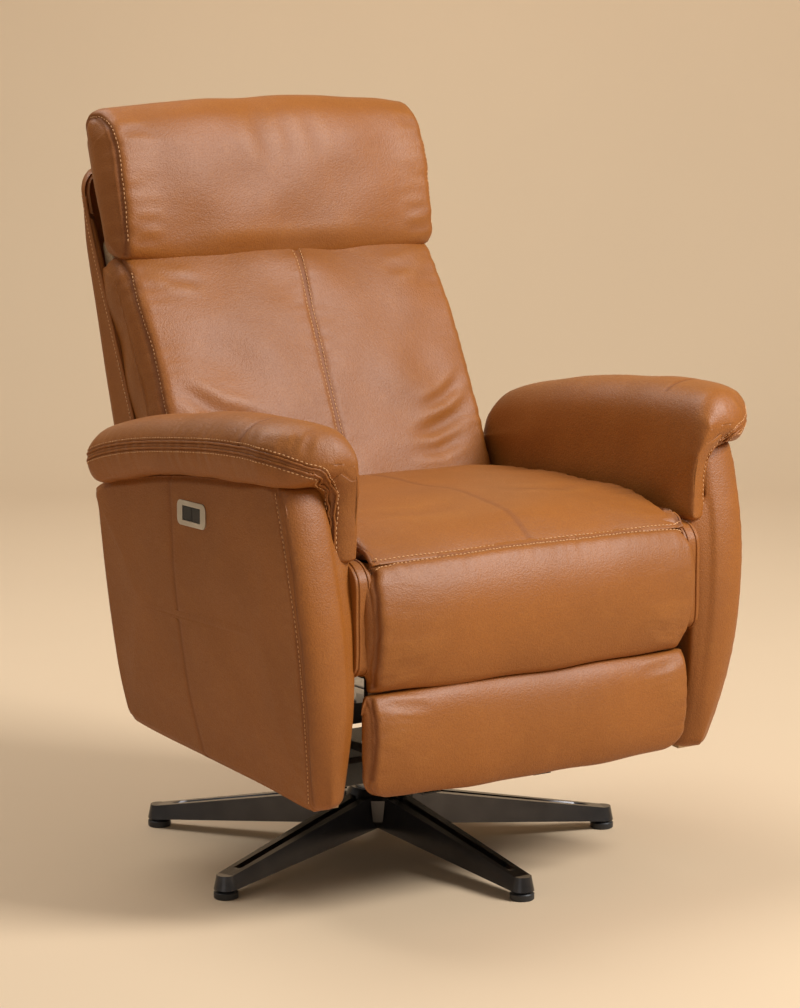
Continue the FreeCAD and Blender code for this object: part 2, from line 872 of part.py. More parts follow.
# Arms: the side outline is shared by the panel, the inner frame and the facing
arm_top = seat_support + arm_height
arm_bottom = seat_support - arm_drop
arm_front_top = (arm_front_top_y, arm_top)
arm_front_mid = (arm_front_middle_y, seat_support + arm_bow_height)
arm_front_bottom = (arm_front_bottom_y, arm_bottom)
arm_rear_bottom = (arm_rear_bottom_y, seat_support - arm_drop_rear)
arm_rear_top = (arm_rear_top_y, seat_support + arm_height_rear)
arm_top_mid = ((arm_front_top_y + arm_rear_top_y) / 2 + 6, seat_support + arm_height_middle)
arm_outer_top = (arm_inner + arm_width, arm_top)
arm_outer_mid = (arm_inner + arm_width_middle, arm_front_mid[1])
arm_outer_bottom = (arm_inner + arm_width_bottom, arm_bottom)
front_circle = circle_through(arm_front_top, arm_front_mid, arm_front_bottom)
top_circle = circle_through(arm_front_top, arm_top_mid, arm_rear_top)
outer_circle = circle_through(arm_outer_top, arm_outer_mid, arm_outer_bottom)


def seam_y(z):
    """The front seam of the arm at a height."""
    y, z0, radius = front_circle
    return y - math.sqrt(radius**2 - (z - z0) ** 2)


def top_z(y):
    """The top edge of the arm panel at a place along the arm."""
    y0, z, radius = top_circle
    return z + math.sqrt(radius**2 - (y - y0) ** 2)


def outer_x(z):
    """The outer face of the arm at a height."""
    x, z0, radius = outer_circle
    return x + math.sqrt(radius**2 - (z - z0) ** 2)


def arm_outline(x0, x1):
    """The side outline of the arm between two x values, with its rounded rear foot."""
    corner = arm_foot_corner
    foot = V(x0, *arm_rear_bottom)
    to_front = (V(x0, *arm_front_bottom) - foot).normalize()
    to_top = (V(x0, *arm_rear_top) - foot).normalize()
    inner_corner = foot + (to_front + to_top) * (corner * 0.3)
    edges = [
        Part.Arc(V(x0, *arm_front_top), V(x0, *arm_front_mid), V(x0, *arm_front_bottom)),
        Part.LineSegment(V(x0, *arm_front_bottom), foot + to_front * corner),
        Part.Arc(foot + to_front * corner, inner_corner, foot + to_top * corner),
        Part.LineSegment(foot + to_top * corner, V(x0, *arm_rear_top)),
        Part.Arc(V(x0, *arm_rear_top), V(x0, *arm_top_mid), V(x0, *arm_front_top)),
    ]
    face = Part.Face(Part.Wire([edge.toShape() for edge in edges]))
    return face, face.extrude(V(x1 - x0, 0, 0))


def arm_slab(depth_outer, x_inner=None):
    """A slab between the outer face, set in by depth_outer, and an inner face."""
    outer = [(x - depth_outer, z) for x, z in (arm_outer_top, arm_outer_mid, arm_outer_bottom)]
    if x_inner is None:
        inner_line = [(x - panel_thickness, z) for x, z in outer]
    else:
        inner_line = [(x_inner, z) for _, z in outer]
    y = arm_front_mid[0] - 30
    p = [V(x, y, z) for x, z in outer]
    q = [V(x, y, z) for x, z in inner_line]
    inner_edge = Part.LineSegment(q[2], q[0]) if x_inner is not None else Part.Arc(q[2], q[1], q[0])
    edges = [Part.Arc(p[0], p[1], p[2]), Part.LineSegment(p[2], q[2]), inner_edge, Part.LineSegment(q[0], p[0])]
    face = Part.Face(Part.Wire([edge.toShape() for edge in edges]))
    return face.extrude(V(0, 600, 0))


outline_face, outline_solid = arm_outline(arm_inner, arm_inner + arm_width + pad_overhang + 12)
outer_panel = outline_solid.common(arm_slab(0.0))
save("outer_panel_left", outer_panel)

hollow_face = outline_face.makeOffset2D(-frame_rim)
hollow = hollow_face.extrude(V(200, 0, 0))
hollow.translate(V(frame_web, 0, 0))
arm_frame = outline_solid.common(arm_slab(panel_thickness, arm_inner)).cut(hollow)
window_foot = seat_support - 160
windows = [
    prism(
        [
            (y, window_foot, 25), (y + window_width, window_foot, 25),
            (y + window_width, window_foot + window_height, 25), (y, window_foot + window_height, 25),
        ],
        side_view(arm_inner - 1),
        V(frame_web + 2, 0, 0),
    )
    for y in (arm_front_top_y + 29, arm_rear_top_y - 62 - window_width)
]
arm_frame = arm_frame.cut(windows)
both_sides("arm_frame", arm_frame)


def front_roll(x_inner, x_outer, z0, z1, bulge):
    """A padded strip in front of the arm that bows forward between two x lines."""
    wires = []
    for k in range(7):
        z = z0 + (z1 - z0) * k / 6
        a, b, y = x_inner(z), x_outer(z), seam_y(z)
        corners = [V(a, y, z), V(b, y, z), V(b, y - facing_side, z), V(a, y - facing_side, z)]
        peak = V((a + b) / 2, y - facing_side - bulge, z)
        wires.append(
            Part.Wire(
                [
                    Part.LineSegment(corners[0], corners[1]).toShape(),
                    Part.LineSegment(corners[1], corners[2]).toShape(),
                    Part.Arc(corners[2], peak, corners[3]).toShape(),
                    Part.LineSegment(corners[3], corners[0]).toShape(),
                ]
            )
        )
    return Part.makeLoft(wires, True, True)


def facing_inner(z):
    """The inner edge of the facing at a height."""
    share = (z - arm_bottom) / (arm_top - arm_bottom)
    return arm_inner + facing_gap_bottom + (facing_gap_top - facing_gap_bottom) * share


facing = front_roll(facing_inner, outer_x, arm_bottom, arm_top, facing_bulge)
facing = facing.cut(outline_solid)
both_sides("arm_facing", facing)

# Arm pads: a thick pad on top, a drape on the inner side and a tongue at the front
pad_outer = arm_inner + arm_width + pad_overhang
pad_front = arm_front_middle_y - facing_bulge
pad_top = arm_top - 1 + pad_thickness
pad_sections = [
    (arm_rear_top_y - 6, 37, 42, -8, 73, 9),
    (arm_rear_top_y - 13, 15, 22, -24, 59, 20),
    (arm_rear_top_y - 37, 2, 9, None, 49, 26),
    (arm_rear_top_y - 97, 0, 3, None, 34, 28),
    (arm_rear_top_y - 207, 0, 0, None, 17, 30),
    (arm_front_top_y + 139, 0, 0, None, 3, 32),
    (arm_front_top_y + 29, 0, 2, None, 0, 32),
    (pad_front + 30, 1, 7, 3, 5, 30),
    (pad_front + 7, 9, 16, 13, 16, 24),
    (pad_front - 1, 21, 28, 25, 29, 14),
]
pad_wires = []
for y, inner_pull, outer_pull, rise, drop, radius in pad_sections:
    x0, x1 = drape_inner + inner_pull, pad_outer - outer_pull
    z1 = pad_top - drop
    z0 = top_z(y) - 1 if rise is None else arm_top + rise
    corners = [(x0, z0, radius), (x1, z0, radius), (x1, z1, radius), (x0, z1, radius)]
    pad_wires.append(rounded_wire(corners, front_view(y)))
arm_pad = Part.makeLoft(pad_wires, True, True)
drape_bottom = cheek_top + 1
drape = prism(
    [
        (arm_front_top_y + 2, drape_bottom, 12),
        (arm_rear_top_y - 57, drape_bottom, 30),
        (arm_rear_top_y - 57, arm_top + 10, 10),
        (arm_front_top_y + 2, arm_top + 40, 10),
    ],
    side_view(drape_inner),
    V(drape_thickness, 0, 0),
)
tongue = front_roll(
    lambda z: drape_inner, lambda z: facing_inner(z) - seat_gap,
    drape_bottom, arm_top + 40, facing_bulge - 6,
)
both_sides("arm_pad", arm_pad.fuse([drape, tongue]).cut([outline_solid, facing]))

# Switch on the sitter's right, with its two buttons, and the power inlet
switch_z = arm_top - switch_below_top
face_x = -outer_x(switch_z) + bezel_recess
bezel = prism(
    [
        (switch_y + a * bezel_length / 2, switch_z + b * bezel_height / 2, bezel_corner)
        for a, b in ((1, 1), (-1, 1), (-1, -1), (1, -1))
    ],
    side_view(face_x - bezel_thickness),
    V(bezel_thickness, 0, 0),
)
recess = prism(
    [
        (switch_y + a * (bezel_length / 2), switch_z + b * (bezel_height / 2), bezel_corner)
        for a, b in ((1, 1), (-1, 1), (-1, -1), (1, -1))
    ],
    side_view(face_x - 12),
    V(12, 0, 0),
)


def switch_block(length, height, x0, x1, y=switch_y):
    return box(x0, x1, y - length / 2, y + length / 2, switch_z - height / 2, switch_z + height / 2)


body_length = opening_length + 2 * switch_rim
body_height = opening_height + 2 * switch_rim
body_hole = switch_block(body_length, body_height, face_x - 1, face_x + 40)
save("outer_panel_right", mirrored(outer_panel).cut([recess, body_hole]))
save("switch_bezel", bezel.cut(switch_block(opening_length, opening_height, face_x - 10, face_x + 1)))
button_length = (opening_length - button_divider - 4 * button_clearance) / 2
button_height = opening_height - 2 * button_clearance
button_offset = (button_length + button_divider) / 2 + button_clearance
button_back = face_x + button_depth
well_back = button_back + button_travel + seat_gap
wells = [
    switch_block(
        button_length + 2 * button_clearance, opening_height, face_x - 1, well_back,
        switch_y + side * button_offset,
    )
    for side in (-1, 1)
]
switch_body = switch_block(body_length, body_height, face_x, face_x + switch_depth).cut(wells)
switch_body = switch_body.fuse(
    switch_block(button_divider, opening_height, face_x - bezel_thickness + 0.6, face_x + 1)
)
save("switch_body", switch_body)
for name, side in (("button_open", -1), ("button_close", 1)):
    button = switch_block(
        button_length, button_height, face_x - bezel_thickness + 0.5, button_back,
        switch_y + side * button_offset,
    )
    save(name, button.makeFillet(1.2, [e for e in button.Edges if e.BoundBox.XMax < face_x]))
inlet_z = tube_top - half_tube
inlet_rear = frame_rear + inlet_depth
inlet = box(
    inlet_x - inlet_width / 2, inlet_x + inlet_width / 2, frame_rear, inlet_rear,
    inlet_z - inlet_height / 2, inlet_z + inlet_height / 2,
)
socket = Part.makeCylinder(inlet_bore, inlet_depth - 3, V(inlet_x, inlet_rear, inlet_z), V(0, -1, 0))
save("power_inlet", inlet.cut(socket))

# Back: pivot plates, drive tube, plywood frame, webbing, cushion and shell
bracket_mid = (back_pivot_y + 77, back_pivot_z + 110)
bracket_top = (back_pivot_y + 129, back_pivot_z + 205)
back_bracket = rod(26, *lever_x, back_pivot).fuse(
    [
        bar(*lever_x, back_pivot, lever_pin, 26),
        bar(*lever_x, back_pivot, bracket_mid, 34),
        bar(*lever_x, bracket_mid, bracket_top, 34),
    ]
)
back_bracket = back_bracket.cut(
    [
        rod(pivot_pin_radius + running_clearance, lever_inner - 1, lever_outer + 1, back_pivot),
        rod(drive_tube_radius, lever_inner - 1, lever_outer + 1, lever_pin),
    ]
).removeSplitter()
both_sides("back_bracket", back_bracket)
drive_tube = rod(drive_tube_radius, -lever_outer, lever_outer, lever_pin)
drive_tube_bore = rod(drive_tube_radius - 2, -lever_outer - 1, lever_outer + 1, lever_pin)
save("back_drive_tube", drive_tube.cut(drive_tube_bore))

frame_foot = seat_support + back_frame_rise
frame_head = frame_foot + back_frame_height
cushion_rear_low = back_pivot_y + cushion_behind_pivot
shell_bottom = seat_support - shell_drop
shell_top = shell_bottom + shell_height
shell_rear_low = back_pivot_y + 125
stile_inner = lever_outer


def cushion_rear(z):
    """The plane that the back cushion leans on."""
    return cushion_rear_low + (z - frame_foot) * math.tan(math.radians(back_cushion_lean))


def shell_rear(z):
    """The rear face of the shell at a height."""
    return shell_rear_low + (z - shell_bottom) * shell_lean


stile_gap = shell_wall + shell_corner
stile_corners = [
    (cushion_rear(frame_foot), frame_foot, 6),
    (cushion_rear(frame_head), frame_head, 4),
    (shell_rear(frame_head) - stile_gap, frame_head, 8),
    (shell_rear(frame_foot) - stile_gap, frame_foot, 20),
]
stile = prism(stile_corners, side_view(stile_inner), V(stile_thickness, 0, 0))
hole_foot = frame_foot + 50
hole_head = frame_foot + 190
stile_hole = prism(
    [
        (cushion_rear(hole_foot) + frame_rim, hole_foot, 12),
        (cushion_rear(hole_head) + frame_rim, hole_head, 9),
        (shell_rear(hole_head) - stile_gap - frame_rim / 2, hole_head, 9),
        (shell_rear(hole_foot) - stile_gap - frame_rim / 2, hole_foot, 12),
    ],
    side_view(stile_inner - 1),
    V(stile_thickness + 2, 0, 0),
)
stile = stile.cut(stile_hole)


def back_rail(z, front, depth):
    """A rail between the stiles, front behind the cushion plane."""
    top = z + wood_thickness
    corners = [(cushion_rear(z) + front, z, 0), (cushion_rear(top) + front, top, 0)]
    corners += [(cushion_rear(top) + front + depth, top, 0), (cushion_rear(z) + front + depth, z, 0)]
    return prism(corners, side_view(-stile_inner), V(2 * stile_inner, 0, 0))


rails = [
    back_rail(frame_foot, 60, 36),
    back_rail(frame_foot + 250, 4, 36),
    back_rail(frame_head - wood_thickness, 2, 20),
]
save("back_frame", stile.fuse([mirrored(stile)] + rails).removeSplitter())

straps = []
for k in range(5):
    z = frame_foot + 50 + 75 * k
    strap = box(
        -stile_inner - stile_thickness, stile_inner + stile_thickness,
        -webbing_thickness, 0, -webbing_width / 2, webbing_width / 2,
    )
    strap.rotate(V(0, 0, 0), V(1, 0, 0), -back_cushion_lean)
    strap.translate(V(0, cushion_rear(z), z))
    straps.append(strap)
save("back_webbing", Part.makeCompound(straps))


def back_section(pull):
    """The back cushion's side view, from (front, up, radius) corners measured at its foot."""
    lean = math.radians(back_cushion_lean)
    foot_y = cushion_rear_low - (webbing_thickness + seat_gap) / math.cos(lean)
    corners = []
    rise = back_frame_height + 10
    for front, up, radius in [
        (0, -8, 10),
        (62 - pull, -8, 26),
        (78 - pull, rise * 0.44, 1500),
        (58 - pull, rise - 29, 14),
        (33, rise - 14, 3),
        (0, rise, 10),
    ]:
        y = foot_y - front * math.cos(lean) + up * math.sin(lean)
        z = frame_foot + front * math.sin(lean) + up * math.cos(lean)
        corners.append((y, z, radius))
    return rounded_wire(corners, side_view(0))


headrest_pivot = (cushion_rear(frame_head) - headrest_forward, frame_head - headrest_drop)
hinge_pocket = [
    rod(hinge_radius + 2, side * hinge_x - 9, side * hinge_x + 9, headrest_pivot) for side in (-1, 1)
]
back_cushion = pillow(back_section, back_cushion_half, 12.0, 12.0, 5.0)
save("back_cushion", back_cushion.cut(hinge_pocket))


def shell_prism(inset, z, rear, lean, height):
    """The shell's plan at height z, carried up by height as it leans back."""
    half = shell_half - inset
    radius = shell_corner - inset
    corners = [(half, 0, 0), (half, rear, radius), (-half, rear, radius), (-half, 0, 0)]
    return prism(corners, plan_view(z), V(0, lean * height, height))


def shell_block(inset):
    """The outside of the shell, or its inside when inset by the wall."""
    rear = shell_rear_low - inset
    shoulder = shell_top - shell_shoulder
    lower = shell_prism(inset, shell_bottom, rear, shell_lean, shoulder - shell_bottom)
    rear += shell_lean * (shoulder - shell_bottom)
    upper = shell_prism(inset, shoulder, rear, shell_top_lean, shell_shoulder + 10)
    half = shell_half - inset
    top = shell_top - inset
    radius = shell_corner + 6 - inset
    corners = [
        (half, shell_bottom - inset, 0), (half, top, radius),
        (-half, top, radius), (-half, shell_bottom - inset, 0),
    ]
    return lower.fuse(upper).common(prism(corners, front_view(0), V(0, 500, 0)))


shell_edge = [
    (shell_rear_low - 32, shell_bottom - 20, 0),
    (shell_rear_low - 49, frame_foot, 60),
    (cushion_rear(frame_foot + 172) + 20, frame_foot + 172, 80),
    (cushion_rear(frame_head) + 12, frame_head, 100),
    (shell_rear(shell_top) - 42, shell_top - 8, 10),
    (shell_rear(shell_top) - 38, shell_top + 14, 0),
    (shell_rear(shell_top) + 60, shell_top + 14, 0),
    (shell_rear(shell_top) + 60, shell_bottom - 20, 0),
]
shell_front = prism(shell_edge, side_view(-shell_half - 10), V(2 * shell_half + 20, 0, 0))
back_shell = shell_block(0).common(shell_front).cut(shell_block(shell_wall))
save("back_shell", back_shell)

# Headrest: ratchet hinges, steel frame, board and head cushion
def head_point(back, up):
    """A point of the head cushion, measured from the headrest pivot."""
    return V(0, headrest_pivot[0] + back, headrest_pivot[1] + up)


head_rear_low = head_point(7, 10)
head_rear_high = head_point(54, 148)
head_up = (head_rear_high - head_rear_low).normalize()
head_back = V(0, head_up.z, -head_up.y)


def behind_head(up, gap):
    """A (y, z) point a distance up the rear of the head cushion and a gap behind it."""
    point = head_rear_low + head_up * up + head_back * gap
    return (point.y, point.z)


arm_gap = 10.5
fixed_x = (hinge_x, hinge_x + hinge_plate)
moving_x = (hinge_x - hinge_plate - seat_gap, hinge_x - seat_gap)
hinge_arm_middle = (headrest_pivot[0] + 26, headrest_pivot[1] + 34)
hinge_arm_end = (cushion_rear(frame_head) + 30, frame_head + 9)
pin_head_x = moving_x[0] - seat_gap
hinge = rod(hinge_radius, *fixed_x, headrest_pivot).fuse(
    [
        bar(*fixed_x, headrest_pivot, hinge_arm_middle, 14),
        bar(*fixed_x, hinge_arm_middle, hinge_arm_end, 14),
        box(
            hinge_x, hinge_x + 20, hinge_arm_end[0] - 24, hinge_arm_end[0] + 5,
            frame_head, frame_head + 3,
        ),
        rod(hinge_pin_radius, pin_head_x - 4, hinge_x + hinge_plate, headrest_pivot),
        rod(hinge_pin_radius + 3, pin_head_x - 4, pin_head_x, headrest_pivot),
    ]
)
both_sides("headrest_hinge", hinge.removeSplitter())

arm_low = behind_head(38, arm_gap)
moving_arm = rod(hinge_radius - 2, *moving_x, headrest_pivot).fuse(
    [
        bar(*moving_x, headrest_pivot, arm_low, 16),
        bar(*moving_x, arm_low, behind_head(148, arm_gap), 16),
    ]
)
moving_arm = moving_arm.cut(
    rod(hinge_pin_radius + running_clearance, moving_x[0] - 1, moving_x[1] + 1, headrest_pivot)
)
cross_bars = [rod(5, -moving_x[0] - 1, moving_x[0] + 1, behind_head(up, 13.8)) for up in (32, 120)]
save("headrest_frame", moving_arm.fuse([mirrored(moving_arm)] + cross_bars).removeSplitter())

board_half = hinge_x - 20
head_board = prism(
    [
        (*behind_head(up, gap), 1)
        for up, gap in ((14, seat_gap), (138, seat_gap), (138, 8.5), (14, 8.5))
    ],
    side_view(-board_half),
    V(2 * board_half, 0, 0),
)
save("headrest_board", head_board)

head_chin = head_point(-27, 5)
head_front = head_point(-20, 155)
head_brow = head_point(18, 212)
head_crown = head_point(62, 193)
head_foot_front = head_point(-23, 1)
head_foot_rear = head_point(2, 1)
head_edges = [
    Part.Arc(head_chin, head_point(-35, 82), head_front),
    Part.Arc(head_front, head_point(-9, 192), head_brow),
    Part.Arc(head_brow, head_point(45, 214), head_crown),
    Part.Arc(head_crown, head_point(64, 170), head_rear_high),
    Part.LineSegment(head_rear_high, head_rear_low),
    Part.LineSegment(head_rear_low, head_foot_rear),
    Part.LineSegment(head_foot_rear, head_foot_front),
    Part.LineSegment(head_foot_front, head_chin),
]
head_wire = Part.Wire([edge.toShape() for edge in head_edges])
head_section = shrunk(head_wire, behind_head(20, 0), 180.0)
head_cushion = pillow(head_section, head_half, 12.0, 4.0)
arm_pockets = [
    bar(side * hinge_x - 9, side * hinge_x + 9, headrest_pivot, arm_low, 22) for side in (-1, 1)
]
save("head_cushion", head_cushion.cut(hinge_pocket + arm_pockets))
print(len(made), "pieces")
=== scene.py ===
# %% [markdown]
# # A leather recliner on a swivelling star base
#
# The chair comes from CAD as a set of fixed solids: the steel frame, the drive under the
# seat, the wooden frames and a plain block for every cushion. This notebook keeps the
# hard parts, gives them their finishes, and makes each leather piece again as a soft,
# sewn form that fills the space of its CAD block.

# %% Load the frame
import math

import bpy
import numpy as np
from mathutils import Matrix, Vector


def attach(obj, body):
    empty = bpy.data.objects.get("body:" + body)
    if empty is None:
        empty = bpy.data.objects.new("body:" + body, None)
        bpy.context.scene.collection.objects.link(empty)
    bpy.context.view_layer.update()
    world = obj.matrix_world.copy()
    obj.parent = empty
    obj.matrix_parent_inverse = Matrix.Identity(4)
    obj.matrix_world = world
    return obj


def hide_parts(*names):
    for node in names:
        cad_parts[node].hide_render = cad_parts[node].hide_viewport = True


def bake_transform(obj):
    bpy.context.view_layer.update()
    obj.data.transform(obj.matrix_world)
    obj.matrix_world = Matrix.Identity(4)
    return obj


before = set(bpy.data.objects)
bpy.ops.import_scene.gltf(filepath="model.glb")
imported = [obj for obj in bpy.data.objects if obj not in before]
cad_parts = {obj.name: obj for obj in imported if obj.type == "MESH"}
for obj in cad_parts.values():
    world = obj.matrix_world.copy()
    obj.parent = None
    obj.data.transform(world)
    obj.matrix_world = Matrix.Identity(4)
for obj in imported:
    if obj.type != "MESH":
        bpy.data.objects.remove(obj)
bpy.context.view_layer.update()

# %% [markdown]
# ## The camera
#
# The chair was seen from its right front, a little above the seat, with a long lens
# from almost five metres away. The camera is placed by its angle round the chair, its
# height angle and its distance, so the view can be checked against three numbers.

# %% The camera
VIEW_AZIMUTH = math.radians(-35.03)
VIEW_ELEVATION = math.radians(9.25)
VIEW_DISTANCE = 4.745
TARGET_HEIGHT, TARGET_ASIDE = 0.502, 0.031
LENS = 118.6
FARTHEST = 40


def aim_camera():
    """Camera on a sphere round the target: target + distance x (sin a cos e, -cos a cos e, sin e)."""
    a, e = VIEW_AZIMUTH, VIEW_ELEVATION
    back = Vector((math.sin(a) * math.cos(e), -math.cos(a) * math.cos(e), math.sin(e)))
    right = Vector((math.cos(a), math.sin(a), 0))
    camera = bpy.data.objects.new("camera", bpy.data.cameras.new("camera"))
    bpy.context.scene.collection.objects.link(camera)
    camera.location = Vector((0, 0, TARGET_HEIGHT)) + TARGET_ASIDE * right + VIEW_DISTANCE * back
    camera.rotation_mode = "QUATERNION"
    camera.rotation_quaternion = (-back).to_track_quat("-Z", "Y")
    camera.data.lens = LENS
    camera.data.clip_end = FARTHEST
    bpy.context.scene.camera = camera
    return camera


print("camera at", [round(x, 3) for x in aim_camera().location])

# %% [markdown]
# ## Shader maths as plain Python
#
# A material is a graph of nodes. Writing `1 - mask * 0.4` is easier to read than placing
# and wiring two Math nodes, so a socket is wrapped in a small class whose operators add
# those nodes. Every other node comes from one method of the material's maker.

# %% A socket that can be used in arithmetic
class Field:
    """A value that varies over a surface: one output socket of a material's nodes."""

    def __init__(self, maker, socket):
        self.maker = maker
        self.socket = socket

    def math(self, operation, *values):
        return self.maker.node("ShaderNodeMath", {"operation": operation}, dict(enumerate(values)))

    def __add__(self, other):
        return self.math("ADD", self, other)

    def __radd__(self, other):
        return self.math("ADD", other, self)

    def __sub__(self, other):
        return self.math("SUBTRACT", self, other)

    def __rsub__(self, other):
        return self.math("SUBTRACT", other, self)

    def __mul__(self, other):
        return self.math("MULTIPLY", self, other)

    def __rmul__(self, other):
        return self.math("MULTIPLY", other, self)

    def between(self, low, high):
        """0 below low, 1 above high, smooth in between."""
        settings = {"interpolation_type": "SMOOTHSTEP"}
        values = {"Value": self, "From Min": low, "From Max": high}
        return self.maker.node("ShaderNodeMapRange", settings, values)


# %% [markdown]
# The maker of a finish holds the node tree. Its `node` method takes the node's type, its
# settings, which are set first, and the values or links of its sockets.

# %% The maker of a finish
class Finish:
    """A named material with a Principled shader whose inputs are set one by one."""

    def __init__(self, name):
        self.material = bpy.data.materials.new(name)
        self.material.use_nodes = True
        self.tree = self.material.node_tree
        self.shader = self.tree.nodes["Principled BSDF"]

    def node(self, kind, settings=None, values=None, output=0):
        made = self.tree.nodes.new(kind)
        for key, value in (settings or {}).items():
            setattr(made, key, value)
        for key, value in (values or {}).items():
            self.join(value, made.inputs[key])
        return Field(self, made.outputs[output])

    def join(self, value, socket):
        if isinstance(value, Field):
            self.tree.links.new(value.socket, socket)
        elif hasattr(socket.default_value, "__len__") and len(socket.default_value) == 4:
            socket.default_value = (*value, 1)
        else:
            socket.default_value = value

    def place(self):
        return self.node("ShaderNodeTexCoord", output="Object")

    def noise(self, scale, detail=3.0, rough=0.5, where=None):
        values = {"Vector": where or self.place(), "Scale": scale, "Detail": detail, "Roughness": rough}
        return self.node("ShaderNodeTexNoise", {}, values)

    def cells(self, scale, where):
        return self.node("ShaderNodeTexVoronoi", {}, {"Vector": where, "Scale": scale})

    def mix(self, share, first, second):
        return self.node("ShaderNodeMix", {"data_type": "RGBA"}, {0: share, 6: first, 7: second}, output=2)

    def bump(self, height, depth, below=None):
        values = {"Height": height, "Distance": depth, "Strength": 1.0}
        if below is not None:
            values["Normal"] = below
        return self.node("ShaderNodeBump", {}, values)

    def set(self, **inputs):
        for key, value in inputs.items():
            self.join(value, self.shader.inputs[key.replace("_", " ")])
        return self.material


print("the shader helpers are ready")

# %% [markdown]
# ## The leather
#
# The cover is a cognac brown leather: pebbled grain two to four millimetres wide, a
# slightly cloudy dye, and a soft gloss that is broken up by the grain. Painted shade
# darkens the valleys of seams, puckers and folds, and a painted highlight lightens the
# ridges beside folds, which are also a little smoother. The grain is two sizes of Voronoi
# cells and some noise in object space, so it is the same size on every piece. Two
# attributes that each piece writes, `valley` and `crown`, say where the painted shade
# and the painted highlight go.

# %% The leather finish
# The deep colour darkens the grain and is also the painted shade of valleys; the pale one lightens the
# mottling and is also the painted highlight of crowns.
DEEP_GRAIN_AND_SHADE = (0.180, 0.050, 0.0060)
DYE_MAIN = (0.325, 0.102, 0.0100)
PALE_MOTTLE_AND_HIGHLIGHT = (0.410, 0.150, 0.0220)


def leather(name, gloss=0.41):
    """Base colour: three colours mixed by slow noise and grain, with painted shade in the valleys and a
    painted highlight on the crowns. Bump: pebbles, pores, creases.
    """
    skin = Finish(name)
    place = skin.place()
    pebble = skin.cells(520.0, place)
    broad = skin.cells(260.0, place)
    pores = skin.noise(900.0, 2.0, 0.6, place)
    cloud = skin.noise(5.5, 4.0, 0.55, place)
    mottle = skin.noise(46.0, 3.0, 0.6, place)
    creases = skin.noise(70.0, 5.0, 0.7, place)
    valley = skin.node("ShaderNodeAttribute", {"attribute_name": "valley"}, output="Fac")
    crown = skin.node("ShaderNodeAttribute", {"attribute_name": "crown"}, output="Fac")
    tone = skin.mix(cloud.between(0.30, 0.72), DYE_MAIN, tuple(0.86 * c for c in DYE_MAIN))
    tone = skin.mix(mottle.between(0.45, 0.80) * 0.20, tone, PALE_MOTTLE_AND_HIGHLIGHT)
    # Painted highlight: the ridges beside folds are lightened in the base colour.
    tone = skin.mix(crown * 0.45, tone, PALE_MOTTLE_AND_HIGHLIGHT)
    tone = skin.mix(pebble.between(0.25, 0.75) * 0.30, tone, DEEP_GRAIN_AND_SHADE)
    # Painted shade: seams, puckers and folds are darkened in the base colour.
    tone = skin.mix(valley * 0.80, tone, DEEP_GRAIN_AND_SHADE)
    grain = pebble * 0.55 + broad * 0.45 + pores * 0.35
    height = skin.bump(creases, 0.0004)
    height = skin.bump(1 - grain, 0.00042, height)
    rough = gloss + 0.10 * cloud + 0.10 * pebble + 0.16 * valley - 0.05 * crown
    return skin.set(Base_Color=tone, Roughness=rough, Normal=height, Coat_Weight=0.05, Coat_Roughness=0.38)


LEATHER = leather("cognac_leather")
LEATHER_SHELL = leather("cognac_leather_flat", 0.46)
print("leather finishes:", LEATHER.name, LEATHER_SHELL.name)

# %% [markdown]
# ## Thread, metal, plastic and wood
#
# The other finishes are smaller versions of the same idea: a base colour with some slow
# variation, a roughness that isn't even, and a little relief.

# %% Thread
def thread_finish():
    """Waxed thread, lighter than the leather, with fine noise for its twist."""
    yarn = Finish("tan_thread")
    twist = yarn.noise(1400.0, 2.0, 0.5)
    tone = yarn.mix(twist.between(0.35, 0.7), (0.56, 0.27, 0.105), (0.72, 0.40, 0.185))
    return yarn.set(Base_Color=tone, Roughness=0.62, Normal=yarn.bump(twist, 0.0002))


THREAD = thread_finish()


# %% Cast, turned and painted metal
def metal(name, low, high, rough, metallic=1.0, depth=0.00005, scale=260.0):
    """A metal whose colour and roughness drift between two values, with fine relief."""
    made = Finish(name)
    drift = made.noise(24.0, 4.0, 0.6)
    fine = made.noise(scale, 3.0, 0.6)
    tone = made.mix(drift.between(0.3, 0.7), low, high)
    return made.set(
        Base_Color=tone, Metallic=metallic, Roughness=rough + 0.06 * fine + 0.05 * drift,
        Normal=made.bump(fine, depth),
    )


GUNMETAL = metal("gunmetal_casting", (0.075, 0.072, 0.074), (0.098, 0.094, 0.096), 0.20, depth=0.00002)
BLACK_STEEL = metal(
    "black_powder_coat", (0.016, 0.016, 0.017), (0.030, 0.030, 0.031), 0.42, metallic=0.2,
    depth=0.00012, scale=1500.0,
)
ZINC = metal("zinc_plated_steel", (0.42, 0.42, 0.43), (0.60, 0.60, 0.60), 0.26)
ALUMINIUM = metal("drawn_aluminium", (0.62, 0.62, 0.63), (0.74, 0.74, 0.75), 0.30)
NICKEL = metal("brushed_nickel", (0.56, 0.53, 0.49), (0.70, 0.67, 0.62), 0.24, depth=0.00002, scale=800.0)


# %% Moulded plastic, webbing and plywood
def plastic(name, tone, rough):
    """Spark-eroded plastic: even colour, fine relief and slightly uneven gloss."""
    made = Finish(name)
    texture = made.noise(1500.0, 2.0, 0.6)
    colour = made.mix(made.noise(12.0).between(0.3, 0.7), tone, tuple(1.25 * c for c in tone))
    return made.set(Base_Color=colour, Roughness=rough + 0.14 * texture, Normal=made.bump(texture, 0.00008))


